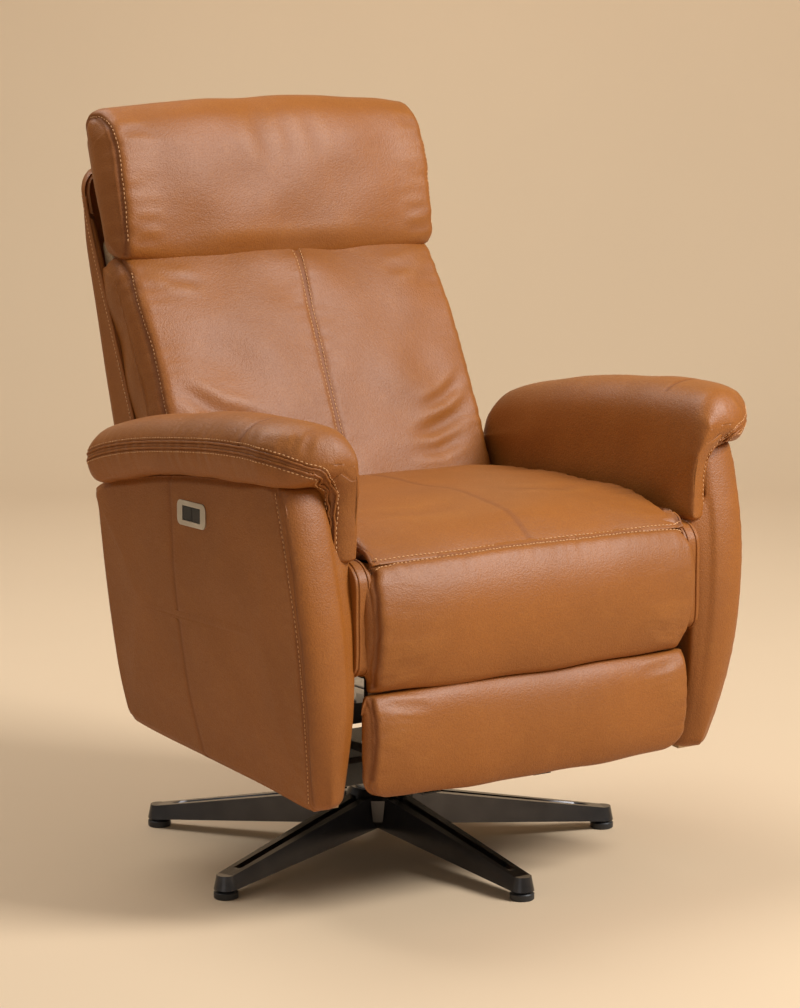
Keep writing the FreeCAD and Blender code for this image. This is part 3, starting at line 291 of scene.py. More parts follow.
def webbing_finish():
    """Elastic webbing: a fine basket weave from two crossed waves."""
    made = Finish("elastic_webbing")
    place = made.place()
    warp = made.node("ShaderNodeTexWave", {"bands_direction": "X"}, {"Vector": place, "Scale": 140.0})
    weft = made.node("ShaderNodeTexWave", {"bands_direction": "Z"}, {"Vector": place, "Scale": 140.0})
    weave = warp * weft
    tone = made.mix(weave, (0.020, 0.019, 0.018), (0.085, 0.080, 0.074))
    return made.set(Base_Color=tone, Roughness=0.85, Normal=made.bump(weave, 0.0004))


def plywood_finish():
    """Birch plywood: a pale and a darker brown, mixed by noise that is stretched along X."""
    made = Finish("birch_plywood")
    place = made.place()
    long_grain = made.node("ShaderNodeMapping", {}, {"Vector": place, "Scale": (3.0, 40.0, 40.0)})
    grain = made.noise(4.0, 6.0, 0.65, long_grain)
    tone = made.mix(grain.between(0.35, 0.65), (0.62, 0.44, 0.26), (0.42, 0.26, 0.13))
    return made.set(Base_Color=tone, Roughness=0.58 + 0.15 * grain, Normal=made.bump(grain, 0.0003))


BLACK_PLASTIC = plastic("black_plastic", (0.014, 0.014, 0.015), 0.34)
NYLON = plastic("natural_nylon", (0.62, 0.60, 0.54), 0.45)
WEBBING = webbing_finish()
PLYWOOD = plywood_finish()
print("finishes:", len(bpy.data.materials))

# %% [markdown]
# ## The hard pieces keep their CAD meshes
#
# Castings, tubes, plates and boards are right as they come, so they only get a finish.

# %% Finishes of the CAD pieces
FINISH_OF = {
    "star_base": GUNMETAL, "glide_feet": BLACK_PLASTIC, "swivel_column": ZINC, "thrust_washer": NYLON,
    "retaining_ring": ZINC, "swivel_plate": BLACK_STEEL, "base_rails": BLACK_STEEL,
    "cross_tubes": BLACK_STEEL, "side_frame": BLACK_STEEL, "torque_bushes": NYLON,
    "back_pivot_bolts": ZINC, "footrest_pivot_bolts": ZINC, "seat_frame": PLYWOOD,
    "seat_webbing": WEBBING, "arm_frame": PLYWOOD, "drive_rail": ALUMINIUM, "motor_unit": BLACK_PLASTIC,
    "power_inlet": BLACK_PLASTIC, "switch_bezel": NICKEL, "switch_body": BLACK_PLASTIC,
    "button_open": BLACK_PLASTIC, "button_close": BLACK_PLASTIC, "drive_carriage": BLACK_PLASTIC,
    "torque_tube": BLACK_STEEL, "link_bar": BLACK_STEEL, "swing_arm": BLACK_STEEL,
    "footrest_board": PLYWOOD, "back_bracket": BLACK_STEEL, "back_drive_tube": ZINC,
    "back_frame": PLYWOOD, "back_webbing": WEBBING, "headrest_hinge": BLACK_STEEL,
    "headrest_frame": BLACK_STEEL, "headrest_board": PLYWOOD,
}


def give_finishes():
    """Each CAD piece takes the finish of its name, or of its name without the side."""
    given = 0
    for name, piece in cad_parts.items():
        finish = FINISH_OF.get(name) or FINISH_OF.get(name.rsplit("_", 1)[0])
        if finish is not None:
            piece.data.materials.clear()
            piece.data.materials.append(finish)
            given += 1
    return given


print("CAD pieces with a finish:", give_finishes())

# %% [markdown]
# ## Curves and noise in numpy
#
# Every leather piece starts from a few measured points of its outline. `through` draws a
# smooth curve through them, `even` spaces points evenly along a curve, and `loop` does
# both for a closed outline. `ripple` is a smooth random wave, made from sines with seeded
# directions, so each run gives the same surface.

# %% Curves through points
def through(points, per_span, closed=False):
    """Catmull-Rom: from p1 to p2 the cubic whose tangents are (p2 - p0) / 2 and (p3 - p1) / 2."""
    p = np.asarray(points, float)
    if closed:
        p0, p1, p2, p3 = np.roll(p, 1, 0), p, np.roll(p, -1, 0), np.roll(p, -2, 0)
    else:
        q = np.vstack([2 * p[:1] - p[1:2], p, 2 * p[-1:] - p[-2:-1]])
        p0, p1, p2, p3 = q[:-3], q[1:-2], q[2:-1], q[3:]
    t = np.linspace(0, 1, per_span, endpoint=False)[None, :, None]
    p0, p1, p2, p3 = (a[:, None] for a in (p0, p1, p2, p3))
    curve = p1 * (2 * t**3 - 3 * t**2 + 1) + p2 * (3 * t**2 - 2 * t**3)
    curve = curve + (p2 - p0) / 2 * (t**3 - 2 * t**2 + t) + (p3 - p1) / 2 * (t**3 - t**2)
    curve = curve.reshape(-1, p.shape[1])
    return curve if closed else np.vstack([curve, p[-1:]])


def even(curve, count, closed=False):
    """The same curve with count points at equal distances along it."""
    whole = np.vstack([curve, curve[:1]]) if closed else curve
    along = np.concatenate([[0], np.cumsum(np.linalg.norm(np.diff(whole, axis=0), axis=1))])
    stops = np.linspace(0, along[-1], count, endpoint=not closed)
    return np.stack([np.interp(stops, along, whole[:, k]) for k in range(whole.shape[1])], 1)


def loop(points, per_span, count):
    """The closed smooth curve through the points, as count points at equal distances."""
    return even(through(points, per_span, True), count, True)


def length_of(path):
    """The length of a polyline."""
    return np.linalg.norm(np.diff(path, axis=0), axis=1).sum()


def unit_length(rows):
    """Every row of an array, scaled to length 1."""
    return rows / np.linalg.norm(rows, axis=1, keepdims=True)


def mirrored(points, side):
    """The points with X times the side, -1 or 1."""
    return np.asarray(points, float) * np.array([side, 1.0, 1.0])


def nearest_on(points, line):
    """For each point, the nearest point of a polyline: projected on each run, the nearest is kept."""
    points, line = np.asarray(points, float), np.asarray(line, float)
    a, run = line[:-1], np.diff(line, axis=0)
    share = ((points[..., None, :] - a) * run).sum(-1) / (run**2).sum(-1)
    spots = a + np.clip(share, 0, 1)[..., None] * run
    nearest = np.linalg.norm(points[..., None, :] - spots, axis=-1).argmin(-1)
    return np.take_along_axis(spots, nearest[..., None, None], -2)[..., 0, :]


def smooth(value, low, high):
    """0 below low, 1 above high and 3t^2 - 2t^3 in between; low may be above high."""
    t = np.clip((value - low) / (high - low), 0, 1)
    return t * t * (3 - 2 * t)


def round_end(past):
    """1 where past is 0 or less, then down a quarter ellipse: sqrt(1 - past^2), 0 from 1 on."""
    return np.sqrt(np.clip(1 - np.clip(past, 0, 1) ** 2, 0, 1))


def ripple(points, size, seed, waves=24):
    """Smooth noise between about -1 and 1: a sum of sines of wavelength near size, in seeded directions."""
    chance = np.random.default_rng(seed)
    width = points.shape[-1]
    way = chance.normal(size=(waves, width))
    steep = 2 * np.pi / size * chance.uniform(0.6, 1.5, (waves, 1))
    way *= steep / np.linalg.norm(way, axis=1, keepdims=True)
    phase = chance.uniform(0, 2 * np.pi, waves)
    return np.sin(points @ way.T + phase).sum(-1) * math.sqrt(2 / waves) * 0.6


print("curve helpers are ready")

# %% [markdown]
# ## A sewn form
#
# A stuffed leather piece is a closed bag. Here it is a stack of closed rings, with both
# ends shrunk onto a spine inside, like a bag that is sewn shut. The rings make a grid,
# whose points are then moved along their normals. A seam is a line near that surface. It
# is dropped onto the surface as it is by then, and so are the stitches and the welts.

# %% The form class
class Form:
    """A closed grid of points, rings x around x 3, in metres, with what happened to its surface."""

    def __init__(self, rings):
        self.points = np.asarray(rings, float)
        # Where the leather's colour gets painted shade (valley) and a painted highlight (crown).
        self.valley = np.zeros(self.points.shape[:2])
        self.crown = np.zeros(self.points.shape[:2])
        run = np.gradient(self.points, axis=0)
        turn = np.roll(self.points, -1, 1) - np.roll(self.points, 1, 1)
        face = np.cross(run, turn)
        away = self.points - self.points.mean(axis=1, keepdims=True)
        self.sign = 1.0 if (face * away).sum() > 0 else -1.0

    def normals(self):
        """Unit normals, from the cross product of the two grid directions."""
        run = np.gradient(self.points, axis=0)
        turn = np.roll(self.points, -1, 1) - np.roll(self.points, 1, 1)
        face = np.cross(run, turn) * self.sign
        return face / np.maximum(np.linalg.norm(face, axis=2, keepdims=True), 1e-9)

    def push(self, amount):
        """Moves every point along its normal by its amount."""
        self.points = self.points + self.normals() * np.asarray(amount)[..., None]


def say_size(label, form):
    """Prints the lowest and the highest corner of a form."""
    spots = form.points.reshape(-1, 3)
    print(f"{label}:", spots.min(0).round(3), spots.max(0).round(3))


# %% [markdown]
# Four things happen to leather on foam. It dips along a seam. It puckers next to the seam,
# because the thread gathers it. It folds where the piece bends. And it is never quite
# even. `sew`, `fold` and `relax` do this by moving the points of a form along their
# normals.

# %% Seams, puckers, folds and unevenness
def distance_to(points, line):
    """Distance of every grid point to a polyline, and how far along it the nearest place is, 0 to 1."""
    line = even(np.asarray(line, float), 60)
    a, run = line[:-1], np.diff(line, axis=0)
    flat = points.reshape(-1, 3)
    gap = np.full(len(flat), 1e9)
    share = np.zeros(len(flat))
    for k in range(len(a)):
        t = np.clip(((flat - a[k]) @ run[k]) / (run[k] @ run[k]), 0, 1)
        d = np.linalg.norm(flat - a[k] - t[:, None] * run[k], axis=1)
        closer = d < gap
        gap[closer] = d[closer]
        share[closer] = (k + t[closer]) / len(a)
    return gap.reshape(points.shape[:2]), share.reshape(points.shape[:2])


def seam_on(form, line, offset):
    """Surface points beside a seam: its line moved sideways by the offset, and put on the surface."""
    line = even(np.asarray(line, float), 120)
    run = unit_length(np.gradient(line, axis=0))
    flat = form.points.reshape(-1, 3)
    index = np.array([np.argmin(((flat - spot) ** 2).sum(1)) for spot in line])
    normal = form.normals().reshape(-1, 3)[index]
    return drop_on(form, line + offset * unit_length(np.cross(run, normal)))


def drop_on(form, wanted, lift=0.0004):
    """The wanted points, each moved along the mean normal of its four nearest grid points to the surface."""
    flat = form.points.reshape(-1, 3)
    normals = form.normals().reshape(-1, 3)
    spots, tops = [], []
    for spot in wanted:
        gap = ((flat - spot) ** 2).sum(1)
        near = np.argpartition(gap, 4)[:4]
        weight = 1 / (gap[near] + 1e-8)
        weight /= weight.sum()
        normal = (normals[near] * weight[:, None]).sum(0)
        normal /= np.linalg.norm(normal)
        height = ((flat[near] - spot) @ normal * weight).sum()
        spots.append(spot + normal * (height + lift))
        tops.append(normal)
    return np.array(spots), np.array(tops)


def sew(form, line, width, depth, pucker, reach, pitch, seed):
    """A seam: a valley of the width, and puckers that cross it and fade within the reach."""
    line, _ = drop_on(form, even(np.asarray(line, float), 60), 0.0)
    gap, share = distance_to(form.points, line)
    along = (share * length_of(even(line, 60)))[..., None]
    gather = ripple(np.concatenate([along, gap[..., None] * 0.25], -1), pitch, seed)
    valley = np.exp(-((gap / width) ** 2))
    form.push(-depth * valley + pucker * gather * np.exp(-gap / reach) * (1 - 0.6 * valley))
    # The seam's valley and the hollows of its puckers are marked for painted shade.
    form.valley = np.maximum(form.valley, 0.9 * valley)
    form.valley = np.maximum(form.valley, 0.22 * np.clip(-gather, 0, 1) * np.exp(-gap / reach))


def fold(form, line, width, depth):
    """A soft fold: a valley along the line with a low ridge beside it, fading at both ends."""
    gap, share = distance_to(form.points, line)
    ends = smooth(share, 0.0, 0.35) * smooth(share, 1.0, 0.60)
    valley = np.exp(-((gap / width) ** 2))
    ridge = np.exp(-(((gap - 1.9 * width) / (0.9 * width)) ** 2))
    form.push(depth * ends * (0.55 * ridge - valley))
    # The fold's valley is marked for painted shade and its ridge for a painted highlight.
    form.valley = np.maximum(form.valley, 0.16 * valley * ends)
    form.crown = np.maximum(form.crown, 0.5 * ridge * ends)


def relax(form, size, depth, seed):
    """Slow unevenness, as foam and hide have."""
    form.push(depth * ripple(form.points, size, seed))


print("form helpers are ready")

# %% [markdown]
# A form becomes a mesh with one call to `from_pydata`. The last ring at each end has
# shrunk onto the spine, and is closed by joining opposite points. The two attributes go
# with the mesh for the leather to read.

# %% From a form to a mesh
def grid_faces(rings, around):
    """Quads between each ring and the next, wrapped round."""
    r, c = np.meshgrid(np.arange(rings - 1), np.arange(around), indexing="ij")
    n = (c + 1) % around
    corners = [r * around + c, r * around + n, (r + 1) * around + n, (r + 1) * around + c]
    return np.stack(corners, -1).reshape(-1, 4)


def end_faces(start, around, flip):
    """A strip across a shrunken ring: point k is joined to point -k on the other side."""
    k = np.arange(around // 2)
    quad = start + np.stack([k, k + 1, around - 1 - k, (around - k) % around], 1)
    return quad[:, ::-1] if flip else quad


def make_mesh(name, vertices, faces, finish, attributes=None):
    """A smooth-shaded mesh object at the world origin."""
    mesh = bpy.data.meshes.new(name)
    mesh.from_pydata(np.asarray(vertices).tolist(), [], np.asarray(faces).tolist())
    for key, value in (attributes or {}).items():
        layer = mesh.attributes.new(key, "FLOAT", "POINT")
        layer.data.foreach_set("value", np.asarray(value, np.float32).ravel())
    mesh.validate()
    mesh.shade_smooth()
    mesh.materials.append(finish)
    made = bpy.data.objects.new(name, mesh)
    bpy.context.scene.collection.objects.link(made)
    return made


def shape(name, form, finish=LEATHER):
    """The form as a closed mesh, with all of its faces turned the same way: inwards."""
    rings, around = form.points.shape[:2]
    as_laid = form.sign > 0
    faces = grid_faces(rings, around)
    faces = faces if as_laid else faces[:, ::-1]
    first = end_faces(0, around, as_laid)
    last = end_faces((rings - 1) * around, around, not as_laid)
    # The marks of painted shade and painted highlight go with the mesh.
    marks = {"valley": form.valley, "crown": form.crown}
    faces = np.vstack([faces, first, last])
    return make_mesh(name, form.points.reshape(-1, 3), faces, finish, marks)


# %% [markdown]
# ## Stitches and welts
#
# Topstitching is a row of short thread capsules, each dipping into the leather at both
# ends. A welt is a thin leather tube that is sewn into a seam. Both follow a line on a
# form, so they lie on it wherever it was pushed.

# %% Stitches
STITCH_PITCH, STITCH_LENGTH, STITCH_THICK = 0.0060, 0.0043, 0.00075
# How much a direction counts, in metres, beside the point that it goes with.
NORMAL_SHARE = 0.02


def capsule():
    """A thread a unit long along X: six points round, at five places, thinner at its ends, sunk at both."""
    along = np.array([-0.5, -0.42, 0.0, 0.42, 0.5])
    fat = np.array([0.25, 0.9, 1.0, 0.9, 0.25])
    angle = np.linspace(0, 2 * np.pi, 6, endpoint=False)
    x = np.repeat(along, 6)
    y = np.outer(fat, np.cos(angle)).ravel()
    z = np.outer(fat, np.sin(angle)).ravel()
    sunk = np.repeat(-1.6 * (2 * along) ** 4, 6)
    faces = grid_faces(5, 6)
    ends = np.array([[3, 2, 1, 0], [5, 4, 3, 0], [24, 25, 26, 27], [24, 27, 28, 29]])
    return np.stack([x, y, z + sunk], 1), np.vstack([faces[:, ::-1], ends[:, ::-1]])


def spaced(path, up, pitch, least):
    """Points evenly along a path, about a pitch apart, and the directions that go with them."""
    count = max(least, int(length_of(path) / pitch))
    both = even(np.hstack([path, up * NORMAL_SHARE]), count)
    return both[:, :3], both[:, 3:]


def stitches(name, path, normals, body):
    """Thread capsules spaced evenly along a path on a surface."""
    spots, up = spaced(path, normals, STITCH_PITCH, 4)
    run = unit_length(np.gradient(spots, axis=0))
    up = unit_length(up - (up * run).sum(1, keepdims=True) * run)
    side = np.cross(up, run)
    thread, faces = capsule()
    grid = (
        spots[:, None] + thread[None, :, :1] * STITCH_LENGTH * run[:, None]
        + thread[None, :, 1:2] * STITCH_THICK * side[:, None]
        + thread[None, :, 2:] * STITCH_THICK * up[:, None]
    )
    all_faces = (faces[None] + (np.arange(len(spots)) * len(thread))[:, None, None]).reshape(-1, 4)
    made = make_mesh(name, grid.reshape(-1, 3), all_faces, THREAD)
    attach(made, body)


def stitch_along(name, form, line, body, lift=0.0004):
    """Stitches on a form, along the smooth curve through the points."""
    path, up = drop_on(form, even(through(line, 12), 160), lift)
    stitches(name, path, up, body)


# %% Welts
WELT_PITCH, WELT_SIDES = 0.004, 10


def tube_points(path, up, radius):
    """A tube round a path: at each point a circle in the plane of the surface normal and the side."""
    run = unit_length(np.gradient(path, axis=0))
    side = unit_length(np.cross(run, up))
    up = np.cross(side, run)
    angle = np.linspace(0, 2 * np.pi, WELT_SIDES, endpoint=False)[None, :, None]
    return path[:, None] + radius * (np.cos(angle) * up[:, None] + np.sin(angle) * side[:, None])


def welt(name, path, up, body, radius, finish=LEATHER):
    """A leather welt along a path on a surface, closed at its ends."""
    made = shape(name, Form(tube_points(*spaced(path, up, WELT_PITCH, 8), radius)), finish)
    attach(made, body)


print("stitches and welts are ready")

# %% [markdown]
# ## Cushions across the chair
#
# The head cushion, the lower back, the seat, the roll and the lower panel have the same
# make: a front cover that is one side-view outline carried across the chair, and a boxing
# at each side. `pillow` carries the outline along X. It bulges the free sides in the
# middle, rounds them down to the side seams, and closes each side with rings that shrink
# onto the spine of the outline.

# %% The pillow
# The sign of X and the word for each side, as the sitter names them.
SIDES = ((-1, "right"), (1, "left"))
# How far the last ring of a side has shrunk onto the spine.
CLOSED = 0.965


def outline_normals(ring):
    """Outward unit normals of a closed outline in the side view."""
    run = np.roll(ring, -1, 0) - np.roll(ring, 1, 0)
    normal = unit_length(np.stack([run[:, 1], -run[:, 0]], 1))
    return normal if ((ring - ring.mean(0)) * normal).sum() > 0 else -normal


def pillow(ring, free, spine, half, crown, edge=0.010, bulge=0.008, across=110, cap=12, tight=2.6):
    """Rings at x = s half, s = sin(pi t / 2), lifted by crown (1 - |s|^tight) where free."""
    ring, free = np.asarray(ring, float), np.asarray(free, float)[:, None]
    normal = outline_normals(ring)
    s = np.sin(np.pi / 2 * np.linspace(-1, 1, across))
    widest = np.max(half)
    rim = np.clip((np.abs(s) * widest - (widest - edge)) / edge, 0, 1)
    inset = edge * 0.75 * (1 - round_end(rim))
    lift = crown * (1 - np.abs(s) ** tight)
    cover = ring + normal * (lift[:, None, None] * free - inset[:, None, None] * (0.3 + 0.7 * free))
    wide = np.broadcast_to(half, (len(ring),))
    x = s[:, None] * wide[None]
    middle = nearest_on(ring, spine)
    q = CLOSED * np.linspace(0, 1, cap + 1)[1:] ** 0.8
    side = cover[-1][None] + (middle - cover[-1])[None] * q[:, None, None]
    puff = bulge * np.sin(np.pi / 2 * q)[:, None] * smooth(np.linalg.norm(ring - middle, axis=1), 0.0, 0.03)
    out = wide[None] + puff
    right = np.concatenate([out[..., None], side], 2)
    left = np.concatenate([-out[..., None], side], 2)[::-1]
    main = np.concatenate([x[..., None], cover], 2)
    return Form(np.concatenate([left, main, right]))


print("pillow is ready")

# %% [markdown]
# ## The leaning back
#
# The back leans by about 25 degrees, so its outlines are written as pairs: forward from
# the boards that the cushions lie on, and up along them. `leaning` turns such pairs into
# side-view points.

# %% The leaning frame of the back
BACK_LEAN = math.radians(25.5)
BACK_FOOT = np.array([0.1235, 0.450])


def leaning(pairs):
    """(forward, up) on the leaning back to (y, z): foot + forward (-cos, sin) + up (sin, cos)."""
    pairs = np.asarray(pairs, float)
    forward = np.array([-math.cos(BACK_LEAN), math.sin(BACK_LEAN)])
    up = np.array([math.sin(BACK_LEAN), math.cos(BACK_LEAN)])
    return BACK_FOOT + pairs[:, :1] * forward + pairs[:, 1:] * up


print("back foot and crease:", BACK_FOOT, leaning([(0.062, 0.428)])[0].round(3))

# %% [markdown]
# ### The lower back cushion
#
# Two panels meet in a curved centre seam with a row of stitches on each side. The cover
# is pulled towards the lower corners, where a sitter's weight has left slanting folds.

# %% The lower back cushion
BACK_HALF, BACK_FACE = 0.268, 0.085
BACK_SIDE = ((0.060, 0.01), (0.064, 0.11), (0.066, 0.21), (0.064, 0.31), (0.058, 0.39), (0.045, 0.42))


def lower_back():
    """The cushion before it is sewn: an outline on the leaning frame, free towards the sitter."""
    outline = leaning([
        (-0.016, 0.012), (0.024, -0.005), (0.056, 0.004), (0.068, 0.040), (0.072, 0.110), (0.074, 0.190),
        (0.073, 0.270), (0.069, 0.340), (0.062, 0.392), (0.046, 0.424), (0.010, 0.427), (-0.016, 0.408),
        (-0.018, 0.280), (-0.018, 0.140),
    ])
    ring = loop(outline, 24, 260)
    forward = outline_normals(ring) @ np.array([-math.cos(BACK_LEAN), math.sin(BACK_LEAN)])
    free = smooth(forward, -0.3, 0.5)
    spine = leaning([(0.034, 0.03), (0.034, 0.39)])
    return pillow(ring, free, spine, BACK_HALF, 0.017, edge=0.016, bulge=0.008, across=170)


def back_line(pairs):
    """Points near the face of the lower back, from x and the height along the lean."""
    return [(x, *leaning([(BACK_FACE, up)])[0]) for x, up in pairs]


back = lower_back()
relax(back, 0.11, 0.0016, 5)
for place in (-BACK_HALF, BACK_HALF):
    side_seam = [(place, *leaning([pair])[0]) for pair in BACK_SIDE]
    sew(back, side_seam, 0.0045, 0.0030, 0.0009, 0.032, 0.024, 11)
CENTRE_SEAM = back_line([(0.014, 0.435), (0.006, 0.34), (0.0, 0.22), (-0.002, 0.10), (0.0, 0.0)])
sew(back, CENTRE_SEAM, 0.0042, 0.0034, 0.0007, 0.020, 0.022, 12)
FOLDS = [
    (((-0.262, 0.165), (-0.20, 0.115), (-0.135, 0.090)), 0.010, 0.0036),
    (((-0.258, 0.215), (-0.19, 0.165), (-0.10, 0.135)), 0.012, 0.0030),
    (((-0.250, 0.120), (-0.19, 0.085), (-0.15, 0.075)), 0.008, 0.0028),
    (((0.262, 0.150), (0.19, 0.120), (0.11, 0.095)), 0.011, 0.0032),
    (((0.258, 0.200), (0.20, 0.160), (0.14, 0.140)), 0.009, 0.0026),
    (((0.240, 0.105), (0.17, 0.080), (0.10, 0.078)), 0.009, 0.0026),
    (((-0.255, 0.405), (-0.21, 0.375), (-0.15, 0.362)), 0.009, 0.0022),
    (((0.250, 0.400), (0.20, 0.372), (0.15, 0.365)), 0.009, 0.0022),
    (((-0.03, 0.11), (-0.07, 0.085), (-0.12, 0.080)), 0.010, 0.0018),
]
for line, width, depth in FOLDS:
    fold(back, back_line(line), width, depth)
lower_back_piece = shape("back_cushion_cover", back)
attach(lower_back_piece, "back")
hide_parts("back_cushion")
say_size("lower back", back)

# %% [markdown]
# The stitches of the centre seam run on both sides of the channel. They are laid on the
# finished surface, a few millimetres from the seam.

# %% Stitches of the lower back
for number, offset in enumerate((-0.0045, 0.0045)):
    path, up = seam_on(back, CENTRE_SEAM, offset)
    stitches(f"back_centre_stitches_{number + 1}", path, up, "back")
for side, word in SIDES:
    line = [(side * (BACK_HALF - 0.0075), *leaning([pair])[0]) for pair in BACK_SIDE[:-1]]
    stitch_along(f"back_side_stitches_{word}", back, line, "back")
print("lower back stitched")

# %% [markdown]
# ### The head cushion
#
# It is a plump bolster that hangs over the lower back. Its front cover runs from the chin
# over the top and down behind, and is gathered into the side seams, which are topstitched.

# %% The head cushion
HEAD_OUTLINE = [
    (0.2650, 0.8440), (0.2470, 0.8475), (0.2390, 0.8640), (0.2395, 0.8900), (0.2440, 0.9200),
    (0.2510, 0.9520), (0.2590, 0.9850), (0.2700, 1.0180), (0.2860, 1.0430), (0.3090, 1.0560),
    (0.3320, 1.0530), (0.3470, 1.0370), (0.3490, 1.0130), (0.3400, 0.9820), (0.3250, 0.9360),
    (0.3100, 0.8920), (0.2950, 0.8560),
]


def head():
    """The outline of the bolster, free all over its front and top, and flat behind."""
    ring = loop(HEAD_OUTLINE, 20, 280)
    facing = outline_normals(ring) @ np.array([-0.95, 0.30])
    free = smooth(facing, -0.45, 0.45)
    spine = [(0.277, 0.878), (0.312, 1.015)]
    return pillow(ring, free, spine, 0.272, 0.013, edge=0.018, bulge=0.010, across=180, cap=14)


head_form = head()
relax(head_form, 0.13, 0.0018, 8)
HEAD_SIDE = [
    (0.2475, 0.850), (0.2440, 0.875), (0.2475, 0.915), (0.2560, 0.960), (0.2660, 1.000), (0.2830, 1.033),
    (0.3090, 1.047), (0.3330, 1.043), (0.3420, 1.015),
]
for side in (-1, 1):
    line = [(side * 0.2705, y, z) for y, z in HEAD_SIDE]
    sew(head_form, line, 0.0048, 0.0034, 0.0012, 0.034, 0.026, 21)
    for number in range(7):
        up = 0.868 + 0.026 * number
        y = 0.236 + 0.27 * (up - 0.868) * 0.95
        inner = 0.205 - 0.006 * (number % 3)
        crease = [(0.266, y, up), (0.236, y, up + 0.004), (inner, y, up + 0.002)]
        fold(head_form, mirrored(crease, side), 0.007, 0.0008)
for x, depth in ((-0.030, 0.0010), (0.012, 0.0008), (0.050, 0.0006)):
    fold(head_form, [(x, 0.300, 1.062), (x + 0.004, 0.262, 1.020), (x + 0.012, 0.246, 0.965)], 0.014, depth)
fold(head_form, [(-0.22, 0.236, 0.862), (0.0, 0.226, 0.858), (0.22, 0.236, 0.862)], 0.012, 0.0012)
head_piece = shape("head_cushion_cover", head_form)
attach(head_piece, "headrest")
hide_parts("head_cushion")
for side, word in SIDES:
    line = [(side * 0.2645, y, z) for y, z in HEAD_SIDE[1:]]
    stitch_along(f"head_side_stitches_{word}", head_form, line, "headrest")
say_size("head cushion", head_form)

# %% [markdown]
# ## The seat and the footrest
#
# Closed, the front of the chair is one upholstered footrest: a fat roll and a lower panel
# below a deep crease. The seat cover reaches over the top of the roll to a double-stitched
# seam.

# %% The seat cover
HINGE_Y, HINGE_Z = -0.335, 0.465
SEAT_OUTLINE = [
    (0.060, 0.500), (0.062, 0.522), (0.030, 0.531), (-0.030, 0.534), (-0.100, 0.536), (-0.170, 0.536),
    (-0.230, 0.534), (-0.280, 0.529), (-0.320, 0.520), (-0.348, 0.508), (-0.3640, 0.4960), (-0.3655, 0.4930),
    (-0.3580, 0.4945), (-0.3480, 0.5055), (-0.3350, 0.5085), (-0.3200, 0.5065), (-0.3060, 0.5000),
    (-0.2930, 0.4870), (-0.2885, 0.4650), (-0.2880, 0.4420), (-0.2800, 0.4370), (-0.2000, 0.4360),
    (-0.1200, 0.4360), (-0.0400, 0.4360), (0.0300, 0.4365), (0.0520, 0.4400), (0.0560, 0.4650),
]


def seat():
    """Outline of the seat, free on top only; its sides are held between the arms."""
    ring = loop(SEAT_OUTLINE, 14, 330)
    free = smooth(outline_normals(ring)[:, 1], 0.2, 0.9) * smooth(ring[:, 0], -0.366, -0.30)
    spine = [(0.035, 0.480), (-0.270, 0.482), (-0.300, 0.514), (-0.335, 0.5145), (-0.3615, 0.4955)]
    return pillow(ring, free, spine, 0.261, 0.010, edge=0.015, bulge=0.003, across=170, tight=3.0)


seat_form = seat()
relax(seat_form, 0.14, 0.0016, 31)
FRONT_SEAM = [
    (-0.258, -0.3655, 0.4960), (-0.15, -0.3668, 0.4975), (0.0, -0.3670, 0.4985), (0.15, -0.3668, 0.4975),
    (0.258, -0.3655, 0.4960),
]
MIDDLE_SEAM = [
    (0.0, y, z) for y, z in ((-0.362, 0.503), (-0.300, 0.535), (-0.20, 0.547), (-0.10, 0.548), (0.03, 0.542))
]
sew(seat_form, MIDDLE_SEAM, 0.0035, 0.0012, 0.0003, 0.02, 0.03, 32)
for side in (-1, 1):
    edge = [(0.259, -0.36, 0.500), (0.262, -0.30, 0.521), (0.262, -0.2, 0.529), (0.262, 0.04, 0.524)]
    sew(seat_form, mirrored(edge, side), 0.005, 0.002, 0.0010, 0.035, 0.026, 33)
fold(seat_form, [(-0.22, -0.24, 0.545), (-0.12, -0.27, 0.545), (-0.02, -0.26, 0.546)], 0.014, 0.0014)
fold(seat_form, [(0.05, -0.20, 0.548), (0.14, -0.23, 0.546), (0.22, -0.20, 0.540)], 0.014, 0.0014)
seat_piece = shape("seat_cover", seat_form)
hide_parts("seat_cushion")
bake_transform(seat_piece)
say_size("seat cover", seat_form)

# %% [markdown]
# ### The roll
#
# The roll wraps round the hinge and bulges in front of its board. It ends below in the
# crease, where its cover is pulled in hard and gathers.

# %% The roll of the footrest
def on_hinge(radius, degrees):
    """A side-view point at an angle round the footrest's hinge, from the rear and up."""
    angle = math.radians(degrees)
    return (HINGE_Y + radius * math.cos(angle), HINGE_Z + radius * math.sin(angle))


ROLL_OUTLINE = [
    (-0.3655, 0.4925), (-0.3755, 0.4790), (-0.3850, 0.4560), (-0.3900, 0.4290), (-0.3900, 0.3980),
    (-0.3840, 0.3660), (-0.3740, 0.3400), (-0.3640, 0.3265), (-0.3500, 0.3225), (-0.3460, 0.3400),
    (-0.3455, 0.3800), (-0.3455, 0.4150), (-0.3480, 0.4380), on_hinge(0.027, 200),
    *(on_hinge(0.026, angle) for angle in (165, 130, 95, 60)),
    on_hinge(0.0265, 30), on_hinge(0.034, 10), on_hinge(0.0405, 25),
    *(on_hinge(0.0415, angle) for angle in (50, 80, 110)),
]


